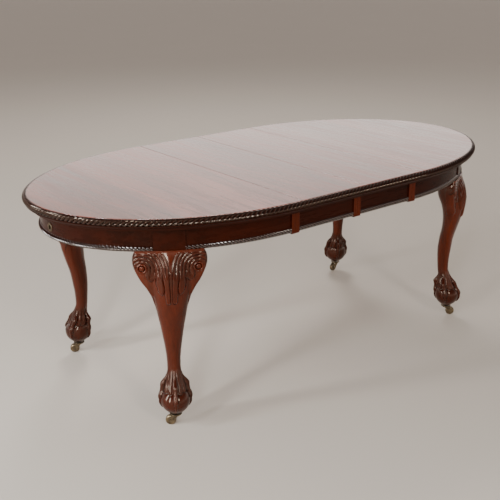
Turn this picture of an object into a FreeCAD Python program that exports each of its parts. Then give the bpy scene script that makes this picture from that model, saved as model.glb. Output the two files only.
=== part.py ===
"""Oval wind-out dining table: two half-oval ends on cabriole legs, two loose leaves between them.

Frame: millimetres, Z up, origin on the floor under the middle of the table, X along the table's length.
The left end (-X) holds the crank; the front is -Y. Every size is a cell of the sheet "Sizes".
"""
import FreeCAD
import Part
import Sketcher
import os

SIZES = (
    ("TableHeight", 750.0, "floor to the flat top"),
    ("HalfWidth", 520.0, "centre line to the outermost edge"),
    ("EndLength", 713.0, "straight join to the tip of one half-oval end"),
    ("LeafWidth", 290.0, "one loose leaf, along the table"),
    ("JoinGap", 0.5, "air between neighbouring boards"),
    ("BoardThickness", 22.0, "top boards"),
    ("RollInset", 16.0, "flat top to the outermost edge"),
    ("CoveDepth", 20.0, "moulding under the boards, height"),
    ("CoveTopInset", 6.0, "moulding, outer top edge from the outline"),
    ("CoveFootInset", 24.0, "moulding, outer foot from the outline"),
    ("CoveLap", 1.0, "moulding, inner face past the apron's"),
    ("ApronInset", 55.0, "apron's outer face from the outline"),
    ("ApronThickness", 22.0, "apron rails"),
    ("ApronDepth", 78.0, "apron rails, height"),
    ("RopeHeight", 17.0, "rope moulding at the foot of the apron"),
    ("RopeProud", 8.0, "rope moulding, thickness on the apron's face"),
    ("BlockWidth", 17.0, "plain block at each end of a straight apron"),
    ("BlockProud", 5.0, "block in front of the apron's face"),
    ("BlockDrop", 3.0, "block below the apron"),
    ("LegAngle", 49.5, "where a leg stands on the half-oval, from the long axis"),
    ("LegSplay", 9.0, "how much further out a leg's knee points than LegAngle"),
    ("FootInset", 63.0, "foot's centre from the outline"),
    ("PostFront", 12.0, "leg post, forward of the foot's centre"),
    ("PostBack", 73.0, "leg post, behind the foot's centre"),
    ("PostWidth", 104.0, "leg post, across"),
    ("PostProud", 4.0, "leg post's curved face in front of the apron's"),
    ("BracketReach", 119.0, "knee bracket, from the leg's middle"),
    ("BracketFall", 148.0, "knee bracket, height"),
    ("BracketRoot", 30.0, "knee bracket's inner edge, inside the leg, from the leg's middle"),
    ("BracketFront", 16.0, "knee bracket's face, forward of the foot's centre"),
    ("BracketThickness", 40.0, "knee bracket"),
    ("BraceWidth", 120.0, "corner brace behind a leg, across"),
    ("BraceThickness", 30.0, "corner brace"),
    ("BraceDepth", 56.0, "corner brace, height"),
    ("RailThickness", 20.0, "cross rails, height"),
    ("RailWidth", 45.0, "cross rails, along the table"),
    ("RailLift", 2.0, "cross rails above the foot of the apron"),
    ("SeatHeight", 1.0, "raised seat under a slide"),
    ("NearRailPlace", 14.0, "near cross rail from the join"),
    ("SlideInset", 350.0, "outermost edge to the face where two slides meet"),
    ("SlideThickness", 30.0, "each slide"),
    ("SlideClear", 2.5, "slides' outer ends to the bent rail"),
    ("SlideTail", 7.0, "slides' outer ends past the far cross rail"),
    ("TongueHeight", 15.0, "tongue of the inner slides"),
    ("TongueDepth", 10.0, "tongue of the inner slides"),
    ("RunningGap", 0.4, "between pieces that slide past each other"),
    ("ScrewRadius", 9.0, "drive screw"),
    ("ScrewSquare", 10.0, "square end for the crank key, across the flats"),
    ("SquareStart", 2.0, "square end behind the bush"),
    ("CollarRadius", 14.0, "collars either side of the bearing"),
    ("CollarWidth", 7.0, "each collar"),
    ("BearingWidth", 50.0, "bearing bracket, across"),
    ("BearingThickness", 20.0, "bearing bracket, along the table"),
    ("BearingRise", 18.0, "bearing bracket above the screw's axis"),
    ("ShaftFit", 0.05, "radial clearance of a turning shaft"),
    ("NutLength", 30.0, "nut block, along the screw"),
    ("NutWidth", 40.0, "nut block, across"),
    ("NutClear", 3.1, "nut to the inner collar when the table is wound shut"),
    ("TubeRadius", 13.0, "tube round the screw, outside"),
    ("TubeBore", 10.5, "tube round the screw, inside"),
    ("BushRadius", 11.0, "crank bush, outside"),
    ("BushBore", 8.0, "crank bush, inside"),
    ("FlangeRadius", 15.0, "crank bush, flange"),
    ("FlangeThickness", 2.0, "crank bush, flange"),
    ("BushTail", 4.0, "crank bush past the rail's inner face"),
    ("BattenWidth", 24.0, "leaf batten, across"),
    ("BattenDepth", 26.0, "leaf batten, height"),
    ("BattenInset", 25.0, "leaf batten's ends from the leaf's edges"),
    ("BattenGap", 0.8, "leaf batten beside the outer slide"),
    ("WheelRadius", 18.0, "caster wheel"),
    ("WheelWidth", 17.0, "caster wheel"),
    ("WheelRound", 3.0, "rounding of the wheel's tread"),
    ("Trail", 18.0, "wheel's centre behind the swivel axis"),
    ("AxleRadius", 3.0, "caster axle"),
    ("AxleHead", 1.5, "riveted end of the axle past the cheek"),
    ("CheekGap", 1.0, "wheel to the horn's cheeks and plate"),
    ("CheekThickness", 3.0, "horn's cheeks"),
    ("CheekRadius", 6.0, "cheek round the axle"),
    ("CheekReach", 9.0, "cheek's upper end either side of the swivel axis"),
    ("HornThickness", 3.5, "horn's round plate"),
    ("HornRadius", 16.0, "horn's round plate"),
    ("CupRadius", 21.0, "caster plate under the ball"),
    ("CupThickness", 3.0, "caster plate"),
    ("SwivelGap", 0.5, "horn to caster plate"),
    ("StemRadius", 5.0, "caster stem in the leg"),
    ("StemLength", 36.0, "caster stem in the leg"),
    ("PivotRadius", 3.5, "swivel pin"),
    ("TurnFrontLeft", 141.0, "front left caster's trail, from +X"),
    ("TurnBackLeft", 152.0, "back left caster's trail, from +X"),
    ("TurnFrontRight", -38.0, "front right caster's trail, from +X"),
    ("TurnBackRight", 187.0, "back right caster's trail, from +X"),
)

# Shares of the roll's inset and the board's thickness, from the flat top down.
EDGE_ROLL = ((1.0, 0.0), (0.5, 0.1), (0.12, 0.32), (0.0, 0.6), (0.1, 0.83), (0.3, 1.0))
# Shares from the cove's outer top edge (0, 0) to its foot (1, 1).
COVE = ((0.0, 0.0), (0.0, 0.2), (0.15, 0.25), (0.7, 0.5), (0.95, 0.8), (1.0, 1.0))
# Shares of the rope moulding's thickness and height, from its foot up.
ROPE = ((0.0, 0.0), (0.6, 0.1), (1.0, 0.5), (0.6, 0.9), (0.0, 1.0))
# Shares of the knee bracket's reach and fall, from the top of its outer corner round to the leg.
BRACKET = ((0.93, 0.0), (0.99, 0.12), (1.0, 0.29), (0.94, 0.45), (0.81, 0.66), (0.6, 0.88), (0.5, 1.0))
# Leg sections: name, height as a share of sole to apron, centre forward of the foot's, half depth
# and half width.
LEG = (
    ("Sole", 0.0, 2.0, 27.0, 28.0),
    ("BallFoot", 0.03, 1.0, 45.0, 46.0),
    ("BallLow", 0.07, 0.0, 53.0, 55.0),
    ("BallMiddle", 0.105, 0.0, 54.0, 57.0),
    ("BallHigh", 0.145, -6.0, 49.0, 51.0),
    ("Claws", 0.188, -15.0, 36.0, 40.0),
    ("Fetlock", 0.225, -18.0, 25.0, 27.0),
    ("Ankle", 0.275, -25.0, 22.5, 23.0),
    ("ShinFoot", 0.36, -28.0, 24.5, 25.0),
    ("Shin", 0.44, -27.0, 28.0, 29.5),
    ("ShinTop", 0.53, -22.0, 29.0, 36.0),
    ("Calf", 0.61, -12.5, 31.5, 43.0),
    ("UnderKnee", 0.695, -5.5, 37.5, 51.0),
    ("KneeFoot", 0.775, -6.0, 45.5, 57.0),
    ("Knee", 0.855, -14.0, 56.0, 58.0),
    ("KneeTop", 0.93, -19.0, 54.0, 55.0),
    ("Shoulder", 1.0, -28.0, 44.0, 52.0),
)

BOARD_FOOT = "(Sizes.TableHeight - Sizes.BoardThickness)"
COVE_FOOT = f"({BOARD_FOOT} - Sizes.CoveDepth)"
APRON_FOOT = f"({COVE_FOOT} - Sizes.ApronDepth)"
APRON_BACK = "(Sizes.ApronInset + Sizes.ApronThickness)"
ROPE_TOP = f"({APRON_FOOT} + Sizes.RopeHeight)"
JOIN = "(Sizes.LeafWidth + Sizes.JoinGap / 2)"
RAIL_FOOT = f"({APRON_FOOT} + Sizes.RailLift)"
RAIL_TOP = f"({RAIL_FOOT} + Sizes.RailThickness)"
SEAT_TOP = f"({RAIL_TOP} + Sizes.SeatHeight)"
SLIDE_TOP = f"({BOARD_FOOT} - Sizes.RunningGap)"
COVE_BACK = f"({APRON_BACK} + Sizes.CoveLap)"
LEG_TURN = "(Sizes.LegAngle + Sizes.LegSplay)"
HORN_FOOT = "(2 * Sizes.WheelRadius + Sizes.CheekGap)"
HORN_TOP = f"({HORN_FOOT} + Sizes.HornThickness)"
CUP_FOOT = f"({HORN_TOP} + Sizes.SwivelGap)"
SOLE = f"({CUP_FOOT} + Sizes.CupThickness)"
# The slides' outer corners stop short of the bent rail, and the far cross rails carry their ends.
SLIDE_PITCH = "(Sizes.HalfWidth - Sizes.SlideInset)"
SLIDE_FACE = f"({SLIDE_PITCH} + Sizes.SlideThickness)"
CORNER_SHARE = f"sqrt(1 - ({SLIDE_FACE} / (Sizes.HalfWidth - {APRON_BACK})) ^ 2)"
CORNER = f"(Sizes.LeafWidth + (Sizes.EndLength - {APRON_BACK}) * {CORNER_SHARE})"
SLIDE_END = f"({CORNER} - Sizes.SlideClear)"
FAR_RAIL = f"({SLIDE_END} - Sizes.SlideTail - Sizes.RailWidth)"
NEAR_RAIL = "(Sizes.LeafWidth + Sizes.NearRailPlace)"
# Wound shut, each end moves over the width of both leaves, and the slides still clear the far rail.
SLIDE_REACH = f"({SLIDE_END} - 2 * Sizes.LeafWidth)"
BLOCK_MIDDLE = f"({FAR_RAIL} + Sizes.RailWidth / 2)"
BLOCK_NEAR = f"({BLOCK_MIDDLE} - Sizes.BearingThickness / 2)"
COLLAR_END = f"({BLOCK_NEAR} - Sizes.RunningGap - Sizes.CollarWidth)"
NUT_FACE = f"({COLLAR_END} - Sizes.NutClear - 2 * Sizes.LeafWidth)"
# The collars just clear the cross rails.
SCREW_AXIS = f"({SEAT_TOP} + Sizes.CollarRadius)"
FOOT_X = "(Sizes.LeafWidth + (Sizes.EndLength - Sizes.FootInset) * cos(Sizes.LegAngle))"
FOOT_Y = "((Sizes.HalfWidth - Sizes.FootInset) * sin(Sizes.LegAngle))"
TIP = "(Sizes.LeafWidth + Sizes.EndLength)"
SIDES = {"left": -1, "right": 1}
WAYS = {"front": -1, "back": 1}
# More than any piece is long, wide or high, for the boxes that halve a shape.
FAR = "(Sizes.LeafWidth + Sizes.EndLength + Sizes.HalfWidth)"

DOC = FreeCAD.newDocument("Table")
NODES = []


def make_sheet():
    """The driving dimensions, one row each."""
    sheet = DOC.addObject("Spreadsheet::Sheet", "Sizes")
    rows = list(SIZES)
    for section, share, forward, depth, width in LEG:
        rows.append((section + "Share", share, "leg section, share of the way up from the sole"))
        rows.append((section + "Forward", forward, "leg section, centre forward of the foot's"))
        rows.append((section + "Depth", depth, "leg section, half depth"))
        rows.append((section + "Width", width, "leg section, half width"))
    for row, (alias, value, note) in enumerate(rows, start=1):
        sheet.set(f"A{row}", note)
        sheet.set(f"B{row}", str(value))
        sheet.setAlias(f"B{row}", alias)
    DOC.recompute()
    return sheet


SHEET = make_sheet()


def number(expression):
    """The present value of an expression on the sheet."""
    value = SHEET.evalExpression(expression)
    return float(getattr(value, "Value", value))


def node(item, label):
    """Keep an object as one named sub-part."""
    item.Label = label
    NODES.append(item)
    return item


def place(item, x="0", y="0", z="0", turn=None):
    """Bind an object's place, and its turn about Z in degrees."""
    item.setExpression("Placement.Base.x", x)
    item.setExpression("Placement.Base.y", y)
    item.setExpression("Placement.Base.z", z)
    if turn is not None:
        item.setExpression("Placement.Rotation.Angle", turn)
    return item


def mirrored(sign, low, high):
    """A span given by its distances from a centre plane, on one side of it."""
    return (low, high) if sign > 0 else (f"-({high})", f"-({low})")


def both_ways(half):
    """A span centred on zero."""
    return f"-({half})", half


def box(name, x, y, z):
    """A box from its low and high expressions along each axis."""
    item = DOC.addObject("Part::Box", name)
    item.setExpression("Length", f"({x[1]}) - ({x[0]})")
    item.setExpression("Width", f"({y[1]}) - ({y[0]})")
    item.setExpression("Height", f"({z[1]}) - ({z[0]})")
    return place(item, x[0], y[0], z[0])


def rod(name, radius, x):
    """A round bar along the screw's axis."""
    item = DOC.addObject("Part::Cylinder", name)
    item.Placement = FreeCAD.Placement(FreeCAD.Vector(), FreeCAD.Rotation(FreeCAD.Vector(0, 1, 0), 90))
    item.setExpression("Radius", radius)
    item.setExpression("Height", f"({x[1]}) - ({x[0]})")
    item.setExpression("Placement.Base.x", x[0])
    item.setExpression("Placement.Base.z", SCREW_AXIS)
    return item


def cut(name, base, tool):
    """Base less tool."""
    item = DOC.addObject("Part::Cut", name)
    item.Base = base
    item.Tool = tool
    return item


def common(name, base, tool):
    """What base and tool share."""
    item = DOC.addObject("Part::Common", name)
    item.Base = base
    item.Tool = tool
    return item


def fuse(name, *shapes):
    """One solid from touching shapes."""
    item = DOC.addObject("Part::MultiFuse", name)
    item.Shapes = list(shapes)
    item.Refine = True
    return item


def group(name, *shapes):
    """Separate solids kept as one sub-part."""
    item = DOC.addObject("Part::Compound", name)
    item.Links = list(shapes)
    return item


def oval(name, side, inset, height):
    """An end's oval outline, drawn in by an inset, at a height; its seam lies past the join."""
    edge = DOC.addObject("Part::Ellipse", name)
    edge.setExpression("MajorRadius", f"Sizes.EndLength - ({inset})")
    edge.setExpression("MinorRadius", f"Sizes.HalfWidth - ({inset})")
    return place(edge, x=f"{side} * Sizes.LeafWidth", z=height, turn="180" if side > 0 else "0")


def oval_slab(name, side, inset, low, high):
    """An upright elliptic cylinder on an end's outline."""
    slab = DOC.addObject("Part::Extrusion", name)
    slab.Base = oval(name + "_outline", side, inset, low)
    slab.DirMode = "Custom"
    slab.Dir = FreeCAD.Vector(0, 0, 1)
    slab.Solid = True
    slab.setExpression("LengthFwd", f"({high}) - ({low})")
    return slab


def oval_loft(name, side, stations):
    """A solid through ovals given as (inset, height) pairs."""
    loft = DOC.addObject("Part::Loft", name)
    loft.Sections = [oval(f"{name}_{i}", side, inset, height) for i, (inset, height) in enumerate(stations)]
    loft.Solid = True
    loft.Ruled = True
    return loft


def sketch_on(body, role, name, offset):
    """An empty sketch on one of the body's own origin planes, moved along its normal."""
    sketch = body.newObject("Sketcher::SketchObject", name)
    plane = next(feature for feature in body.Origin.OriginFeatures if feature.Role == role)
    sketch.AttachmentSupport = [(plane, "")]
    sketch.MapMode = "FlatFace"
    sketch.setExpression("AttachmentOffset.Base.z", offset)
    return sketch


def pin_point(sketch, line, point, place_xy):
    """Hold one end of a line at a pair of expressions."""
    for kind, expression in zip(("DistanceX", "DistanceY"), place_xy):
        constraint = Sketcher.Constraint(kind, -1, 1, line, point, number(expression))
        index = sketch.addConstraint(constraint)
        sketch.setExpression(f"Constraints[{index}]", expression)


def draw_outline(sketch, corners):
    """A closed straight-sided outline through bound corners."""
    points = [FreeCAD.Vector(number(x), number(y), 0) for x, y in corners]
    count = len(corners)
    for i in range(count):
        sketch.addGeometry(Part.LineSegment(points[i], points[(i + 1) % count]), False)
    for i in range(count):
        sketch.addConstraint(Sketcher.Constraint("Coincident", i, 2, (i + 1) % count, 1))
    for i, corner in enumerate(corners):
        pin_point(sketch, i, 1, corner)


def draw_circle(sketch, centre, radius):
    """A bound circle."""
    middle = FreeCAD.Vector(number(centre[0]), number(centre[1]), 0)
    circle = sketch.addGeometry(Part.Circle(middle, FreeCAD.Vector(0, 0, 1), number(radius)), False)
    size = sketch.addConstraint(Sketcher.Constraint("Radius", circle, number(radius)))
    sketch.setExpression(f"Constraints[{size}]", radius)
    pin_point(sketch, circle, 3, centre)


def new_body(name):
    """An empty PartDesign body."""
    return DOC.addObject("PartDesign::Body", name)


def pad(body, role, name, draw, span):
    """Draw a sketch and pad it over a span along its plane's normal."""
    sketch = sketch_on(body, role, name + "_sketch", span[0])
    draw(sketch)
    feature = body.newObject("PartDesign::Pad", name)
    feature.Profile = sketch
    feature.setExpression("Length", f"({span[1]}) - ({span[0]})")
    return feature


def bore(body, role, name, centre, radius, start):
    """Cut a round hole right through, against the plane's normal, from an offset."""
    sketch = sketch_on(body, role, name + "_sketch", start)
    draw_circle(sketch, centre, radius)
    feature = body.newObject("PartDesign::Pocket", name)
    feature.Profile = sketch
    feature.Type = "ThroughAll"
    return feature


def revolve(body, role, name, corners, axis):
    """Turn a closed outline a full turn about a sketch axis."""
    sketch = sketch_on(body, role, name + "_sketch", "0")
    draw_outline(sketch, corners)
    feature = body.newObject("PartDesign::Revolution", name)
    feature.Profile = sketch
    feature.ReferenceAxis = (sketch, [axis])
    feature.Angle = 360
    return feature


def edge_stations():
    """The carved edge's (inset, height) pairs, from the foot up."""
    pairs = []
    for inward, down in reversed(EDGE_ROLL):
        height = f"Sizes.TableHeight - {down} * Sizes.BoardThickness"
        pairs.append((f"{inward} * Sizes.RollInset", height))
    return pairs


def cove_stations():
    """The cove moulding's (inset, height) pairs, from the foot up."""
    pairs = []
    for inward, down in reversed(COVE):
        inset = f"Sizes.CoveTopInset + {inward} * (Sizes.CoveFootInset - Sizes.CoveTopInset)"
        pairs.append((inset, f"{BOARD_FOOT} - {down} * Sizes.CoveDepth"))
    return pairs


def rope_stations():
    """The rope moulding's (inset, height) pairs, from the foot up."""
    pairs = []
    for outward, up in ROPE:
        inset = f"Sizes.ApronInset - {outward} * Sizes.RopeProud"
        pairs.append((inset, f"{APRON_FOOT} + {up} * Sizes.RopeHeight"))
    return pairs


def foot_point(side, way, forward, across):
    """A point beside a foot, as X and Y expressions, in the leg's own directions."""
    cosine = f"cos({LEG_TURN})"
    sine = f"sin({LEG_TURN})"
    x = f"{side} * ({FOOT_X} + ({forward}) * {cosine}) - {way} * ({across}) * {sine}"
    y = f"{way} * ({FOOT_Y} + ({forward}) * {sine}) + {side} * ({across}) * {cosine}"
    return x, y


def leg_turn(side, way):
    """The turn about Z that points local +X out over a leg's knee."""
    if side > 0:
        return f"{way} * {LEG_TURN}"
    return f"180 - {way} * {LEG_TURN}"


def leg_box(name, side, way, forward, across, height):
    """A box square to a leg: forward, across and height are spans."""
    item = box(name, forward, across, height)
    x, y = foot_point(side, way, forward[0], across[0])
    return place(item, x, y, height[0], leg_turn(side, way))


def make_end_top(name, side, end_half):
    """Half-oval board with its rolled edge."""
    blank = oval_loft(f"end_blank_{name}", side, edge_stations())
    node(common(f"end_board_{name}", blank, end_half), f"top_{name}")


def make_end_moulding(name, side, end_half):
    """Cove moulding bent round under the end board."""
    blank = oval_loft(f"cove_blank_{name}", side, cove_stations())
    core = oval_slab(f"cove_core_{name}", side, COVE_BACK, COVE_FOOT, BOARD_FOOT)
    ring = cut(f"cove_ring_{name}", blank, core)
    node(common(f"cove_{name}", ring, end_half), f"edge_moulding_{name}")


def make_post(name, way_name, side, way):
    """The square top of a leg, its face curved with the apron."""
    across = both_ways("Sizes.PostWidth / 2")
    forward = ("-Sizes.PostBack", "Sizes.PostFront")
    height = (APRON_FOOT, COVE_FOOT)
    blank = leg_box(f"post_blank_{way_name}_{name}", side, way, forward, across, height)
    inset = "Sizes.ApronInset - Sizes.PostProud"
    cover = oval_slab(f"post_cover_{way_name}_{name}", side, inset, APRON_FOOT, COVE_FOOT)
    return common(f"post_{way_name}_{name}", blank, cover)


def make_shank(name, side, way):
    """The cabriole leg below its post, down to the carved ball."""
    rings = []
    for section, *_ in LEG:
        ring = DOC.addObject("Part::Ellipse", f"{name}_{section}")
        ring.Placement = FreeCAD.Placement(FreeCAD.Vector(), FreeCAD.Rotation(FreeCAD.Vector(0, 0, 1), 90))
        ring.setExpression("MajorRadius", f"Sizes.{section}Width")
        ring.setExpression("MinorRadius", f"Sizes.{section}Depth")
        height = f"{SOLE} + Sizes.{section}Share * ({APRON_FOOT} - {SOLE})"
        ring.setExpression("Placement.Base.x", f"Sizes.{section}Forward")
        ring.setExpression("Placement.Base.z", height)
        rings.append(ring)
    shank = DOC.addObject("Part::Loft", name)
    shank.Sections = rings
    shank.Solid = True
    shank.Ruled = False
    x, y = foot_point(side, way, "0", "0")
    return place(shank, x, y, "0", leg_turn(side, way))


def make_leg(name, way_name, side, way, post):
    """One leg: post and shank in one, with the hole for the caster's stem."""
    shank = make_shank(f"shank_{way_name}_{name}", side, way)
    whole = fuse(f"leg_whole_{way_name}_{name}", post, shank)
    hole = DOC.addObject("Part::Cylinder", f"stem_hole_{way_name}_{name}")
    hole.setExpression("Radius", "Sizes.StemRadius")
    hole.setExpression("Height", "Sizes.StemLength")
    x, y = foot_point(side, way, "0", "0")
    place(hole, x, y, SOLE)
    node(cut(f"leg_body_{way_name}_{name}", whole, hole), f"leg_{way_name}_{name}")
    return shank


def make_brackets(name, way_name, side, way, shank):
    """The pair of scrolled knee brackets under the apron, fitted to the knee."""
    ears = []
    for hand in (-1, 1):
        corners = [(f"{hand} * Sizes.BracketRoot", APRON_FOOT)]
        for out, down in BRACKET:
            reach = f"{hand} * {out} * Sizes.BracketReach"
            corners.append((reach, f"{APRON_FOOT} - {down} * Sizes.BracketFall"))
        corners.append((f"{hand} * Sizes.BracketRoot", f"{APRON_FOOT} - Sizes.BracketFall"))
        body = new_body(f"bracket_{way_name}_{name}_{'a' if hand < 0 else 'b'}")
        span = ("Sizes.BracketFront - Sizes.BracketThickness", "Sizes.BracketFront")
        pad(body, "YZ_Plane", body.Name + "_pad", lambda sketch: draw_outline(sketch, corners), span)
        x, y = foot_point(side, way, "0", "0")
        place(body, x, y, "0", leg_turn(side, way))
        ears.append(cut(body.Name + "_fitted", body, shank))
    return ears


def make_rails(name, side, end_half, posts):
    """Apron: a bent rail round the end and a side rail on each side, stopped at the leg posts."""
    outer = oval_slab(f"apron_blank_{name}", side, "Sizes.ApronInset", APRON_FOOT, COVE_FOOT)
    inner = oval_slab(f"apron_core_{name}", side, APRON_BACK, APRON_FOOT, COVE_FOOT)
    ring = common(f"apron_ring_{name}", cut(f"apron_hoop_{name}", outer, inner), end_half)
    open_ring = cut(f"apron_open_{name}", ring, group(f"apron_posts_{name}", *posts))
    height = (APRON_FOOT, COVE_FOOT)
    tip_half = box(f"tip_half_{name}", mirrored(side, FOOT_X, FAR), both_ways(FAR), height)
    make_end_rail(name, side, common(f"bent_rail_{name}", open_ring, tip_half))
    for way_name, way in WAYS.items():
        x = mirrored(side, JOIN, FOOT_X)
        quarter = box(f"quarter_{way_name}_{name}", x, mirrored(way, "0", FAR), height)
        strip = common(f"side_strip_{way_name}_{name}", open_ring, quarter)
        block = make_block(f"{way_name}_{name}", mirrored(side, JOIN, f"{JOIN} + Sizes.BlockWidth"), way)
        node(fuse(f"side_rail_{way_name}_{name}_whole", strip, block), f"side_rail_{way_name}_{name}")


def make_end_rail(name, side, rail):
    """The bent rail; the left one is bored for the crank bush."""
    if side < 0:
        hole = rod("bush_hole", "Sizes.BushRadius", (f"-{TIP}", f"-({TIP} - 2 * {APRON_BACK})"))
        rail = cut("bored_end_rail", rail, hole)
    node(rail, f"end_rail_{name}")


def make_block(name, x, way):
    """Plain block that closes a straight apron at a join."""
    face = "Sizes.HalfWidth - Sizes.ApronInset + Sizes.BlockProud"
    y = mirrored(way, f"Sizes.HalfWidth - {APRON_BACK}", face)
    return box(f"block_{name}", x, y, (f"{APRON_FOOT} - Sizes.BlockDrop", COVE_FOOT))


def make_end_ropes(name, side, end_half):
    """Rope moulding round the foot of the apron, stopped at the posts and the blocks."""
    blank = oval_loft(f"rope_blank_{name}", side, rope_stations())
    core = oval_slab(f"rope_core_{name}", side, "Sizes.ApronInset", APRON_FOOT, ROPE_TOP)
    ring = common(f"rope_ring_{name}", cut(f"rope_hoop_{name}", blank, core), end_half)
    height = (APRON_FOOT, ROPE_TOP)
    x = mirrored(side, JOIN, f"{JOIN} + Sizes.BlockWidth")
    stops = [box(f"rope_stop_{name}", x, both_ways(FAR), height)]
    forward = ("-Sizes.PostBack", "Sizes.PostFront + Sizes.RopeProud")
    across = both_ways("Sizes.PostWidth / 2")
    for way_name, way in WAYS.items():
        stops.append(leg_box(f"rope_stop_{way_name}_{name}", side, way, forward, across, height))
    node(cut(f"ropes_{name}", ring, group(f"rope_stops_{name}", *stops)), f"rope_mouldings_{name}")


def make_cross_rails(name, side):
    """Two rails across an end, cut to the apron's inner face, with raised seats for its own slides."""
    inside = oval_slab(f"rail_inside_{name}", side, APRON_BACK, RAIL_FOOT, RAIL_TOP)
    seat_low = SLIDE_PITCH
    if side > 0:
        seat_low = f"{SLIDE_PITCH} - Sizes.RunningGap - Sizes.SlideThickness"
    seat_high = f"{seat_low} + Sizes.SlideThickness"
    rails = []
    for part, start in (("near", NEAR_RAIL), ("far", FAR_RAIL)):
        x = mirrored(side, start, f"{start} + Sizes.RailWidth")
        blank = box(f"{part}_blank_{name}", x, both_ways(FAR), (RAIL_FOOT, RAIL_TOP))
        pieces = [common(f"{part}_bar_{name}", blank, inside)]
        for way_name, way in WAYS.items():
            y = mirrored(way, seat_low, seat_high)
            pieces.append(box(f"{part}_seat_{way_name}_{name}", x, y, (RAIL_TOP, SEAT_TOP)))
        rails.append(fuse(f"{part}_rail_{name}", *pieces))
    node(group(f"rails_{name}", *rails), f"cross_rails_{name}")


def make_slides():
    """Telescoping slides: the left end's are grooved, the right end's carry the tongue."""
    middle = f"({SEAT_TOP} + {SLIDE_TOP}) / 2"
    height = (SEAT_TOP, SLIDE_TOP)
    outer_x = (f"-{SLIDE_END}", SLIDE_REACH)
    inner_x = (f"-{SLIDE_REACH}", SLIDE_END)
    half_groove = "(Sizes.TongueHeight / 2 + Sizes.RunningGap)"
    groove_z = (f"{middle} - {half_groove}", f"{middle} + {half_groove}")
    groove_back = f"{SLIDE_PITCH} + Sizes.TongueDepth + Sizes.RunningGap"
    tongue_z = (f"{middle} - Sizes.TongueHeight / 2", f"{middle} + Sizes.TongueHeight / 2")
    face = f"({SLIDE_PITCH} - Sizes.RunningGap)"
    for way_name, way in WAYS.items():
        outer_y = mirrored(way, SLIDE_PITCH, SLIDE_FACE)
        outer = box(f"outer_{way_name}", outer_x, outer_y, height)
        groove_y = mirrored(way, SLIDE_PITCH, groove_back)
        groove = box(f"groove_{way_name}", outer_x, groove_y, groove_z)
        node(cut(f"outer_slide_{way_name}", outer, groove), f"slide_{way_name}_left")
        inner_y = mirrored(way, f"{face} - Sizes.SlideThickness", face)
        inner = box(f"inner_{way_name}", inner_x, inner_y, height)
        tongue_y = mirrored(way, face, f"{face} + Sizes.TongueDepth")
        tongue = box(f"tongue_{way_name}", inner_x, tongue_y, tongue_z)
        node(fuse(f"inner_slide_{way_name}", inner, tongue), f"slide_{way_name}_right")


def make_braces(name, side):
    """Braces glued behind the two legs of an end."""
    height = (f"{COVE_FOOT} - Sizes.BraceDepth", COVE_FOOT)
    forward = ("-(Sizes.PostBack + Sizes.BraceThickness)", "-Sizes.PostBack")
    across = both_ways("Sizes.BraceWidth / 2")
    braces = []
    for way_name, way in WAYS.items():
        braces.append(leg_box(f"brace_{way_name}_{name}", side, way, forward, across, height))
    node(group(f"braces_{name}", *braces), f"corner_braces_{name}")


def bracket_block(name, x):
    """A wooden block on a far cross rail that carries a shaft."""
    top = f"{SCREW_AXIS} + Sizes.BearingRise"
    return box(name, x, both_ways("Sizes.BearingWidth / 2"), (RAIL_TOP, top))


def make_drive():
    """Bearing, screw, nut, tube and its bracket, and the crank bush."""
    block_x = (BLOCK_NEAR, f"{BLOCK_NEAR} + Sizes.BearingThickness")
    bearing_x = mirrored(-1, *block_x)
    bearing = bracket_block("bearing_block", bearing_x)
    hole = rod("bearing_hole", "Sizes.ScrewRadius + Sizes.ShaftFit", bearing_x)
    node(cut("bearing", bearing, hole), "screw_bearing")
    make_screw(bearing_x)
    nut_x = (f"-{NUT_FACE}", f"-{NUT_FACE} + Sizes.NutLength")
    nut_z = (SEAT_TOP, f"{SCREW_AXIS} + Sizes.NutWidth / 2")
    nut = box("nut_block", nut_x, both_ways("Sizes.NutWidth / 2"), nut_z)
    nut_hole = rod("nut_hole", "Sizes.ScrewRadius + Sizes.ShaftFit", nut_x)
    node(cut("nut", nut, nut_hole), "screw_nut")
    tube_x = (nut_x[1], block_x[1])
    tube = rod("tube_bar", "Sizes.TubeRadius", tube_x)
    node(cut("tube", tube, rod("tube_hole", "Sizes.TubeBore", tube_x)), "screw_tube")
    holder = bracket_block("holder_block", block_x)
    node(cut("holder", holder, rod("holder_hole", "Sizes.TubeRadius", block_x)), "tube_bracket")
    make_bush()


def make_bush():
    """Brass bush with a flange, through the left end rail."""
    face = f"-({TIP} - Sizes.ApronInset)"
    tail = f"-({TIP} - {APRON_BACK} - Sizes.BushTail)"
    barrel = rod("bush_barrel", "Sizes.BushRadius", (face, tail))
    flange = rod("bush_flange", "Sizes.FlangeRadius", (f"{face} - Sizes.FlangeThickness", face))
    whole = fuse("bush_whole", barrel, flange)
    hole = rod("bush_bore", "Sizes.BushBore", (f"{face} - Sizes.FlangeThickness", tail))
    node(cut("bush", whole, hole), "crank_escutcheon")


def make_screw(bearing_x):
    """Drive screw: a square end behind the bush, two collars at the bearing, and the long shaft."""
    tail = f"-({TIP} - {APRON_BACK} - Sizes.BushTail - Sizes.SquareStart)"
    gap = "Sizes.RunningGap"
    outer_collar = (f"{bearing_x[0]} - {gap} - Sizes.CollarWidth", f"{bearing_x[0]} - {gap}")
    inner_collar = (f"{bearing_x[1]} + {gap}", f"{bearing_x[1]} + {gap} + Sizes.CollarWidth")
    half = "Sizes.ScrewSquare / 2"
    square_z = (f"{SCREW_AXIS} - {half}", f"{SCREW_AXIS} + {half}")
    pieces = (
        box("screw_square", (tail, outer_collar[0]), both_ways(half), square_z),
        rod("screw_collar_a", "Sizes.CollarRadius", outer_collar),
        rod("screw_collar_b", "Sizes.CollarRadius", inner_collar),
        rod("screw_shaft", "Sizes.ScrewRadius", (outer_collar[0], SLIDE_REACH)),
    )
    node(fuse("screw", *pieces), "drive_screw")


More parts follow.
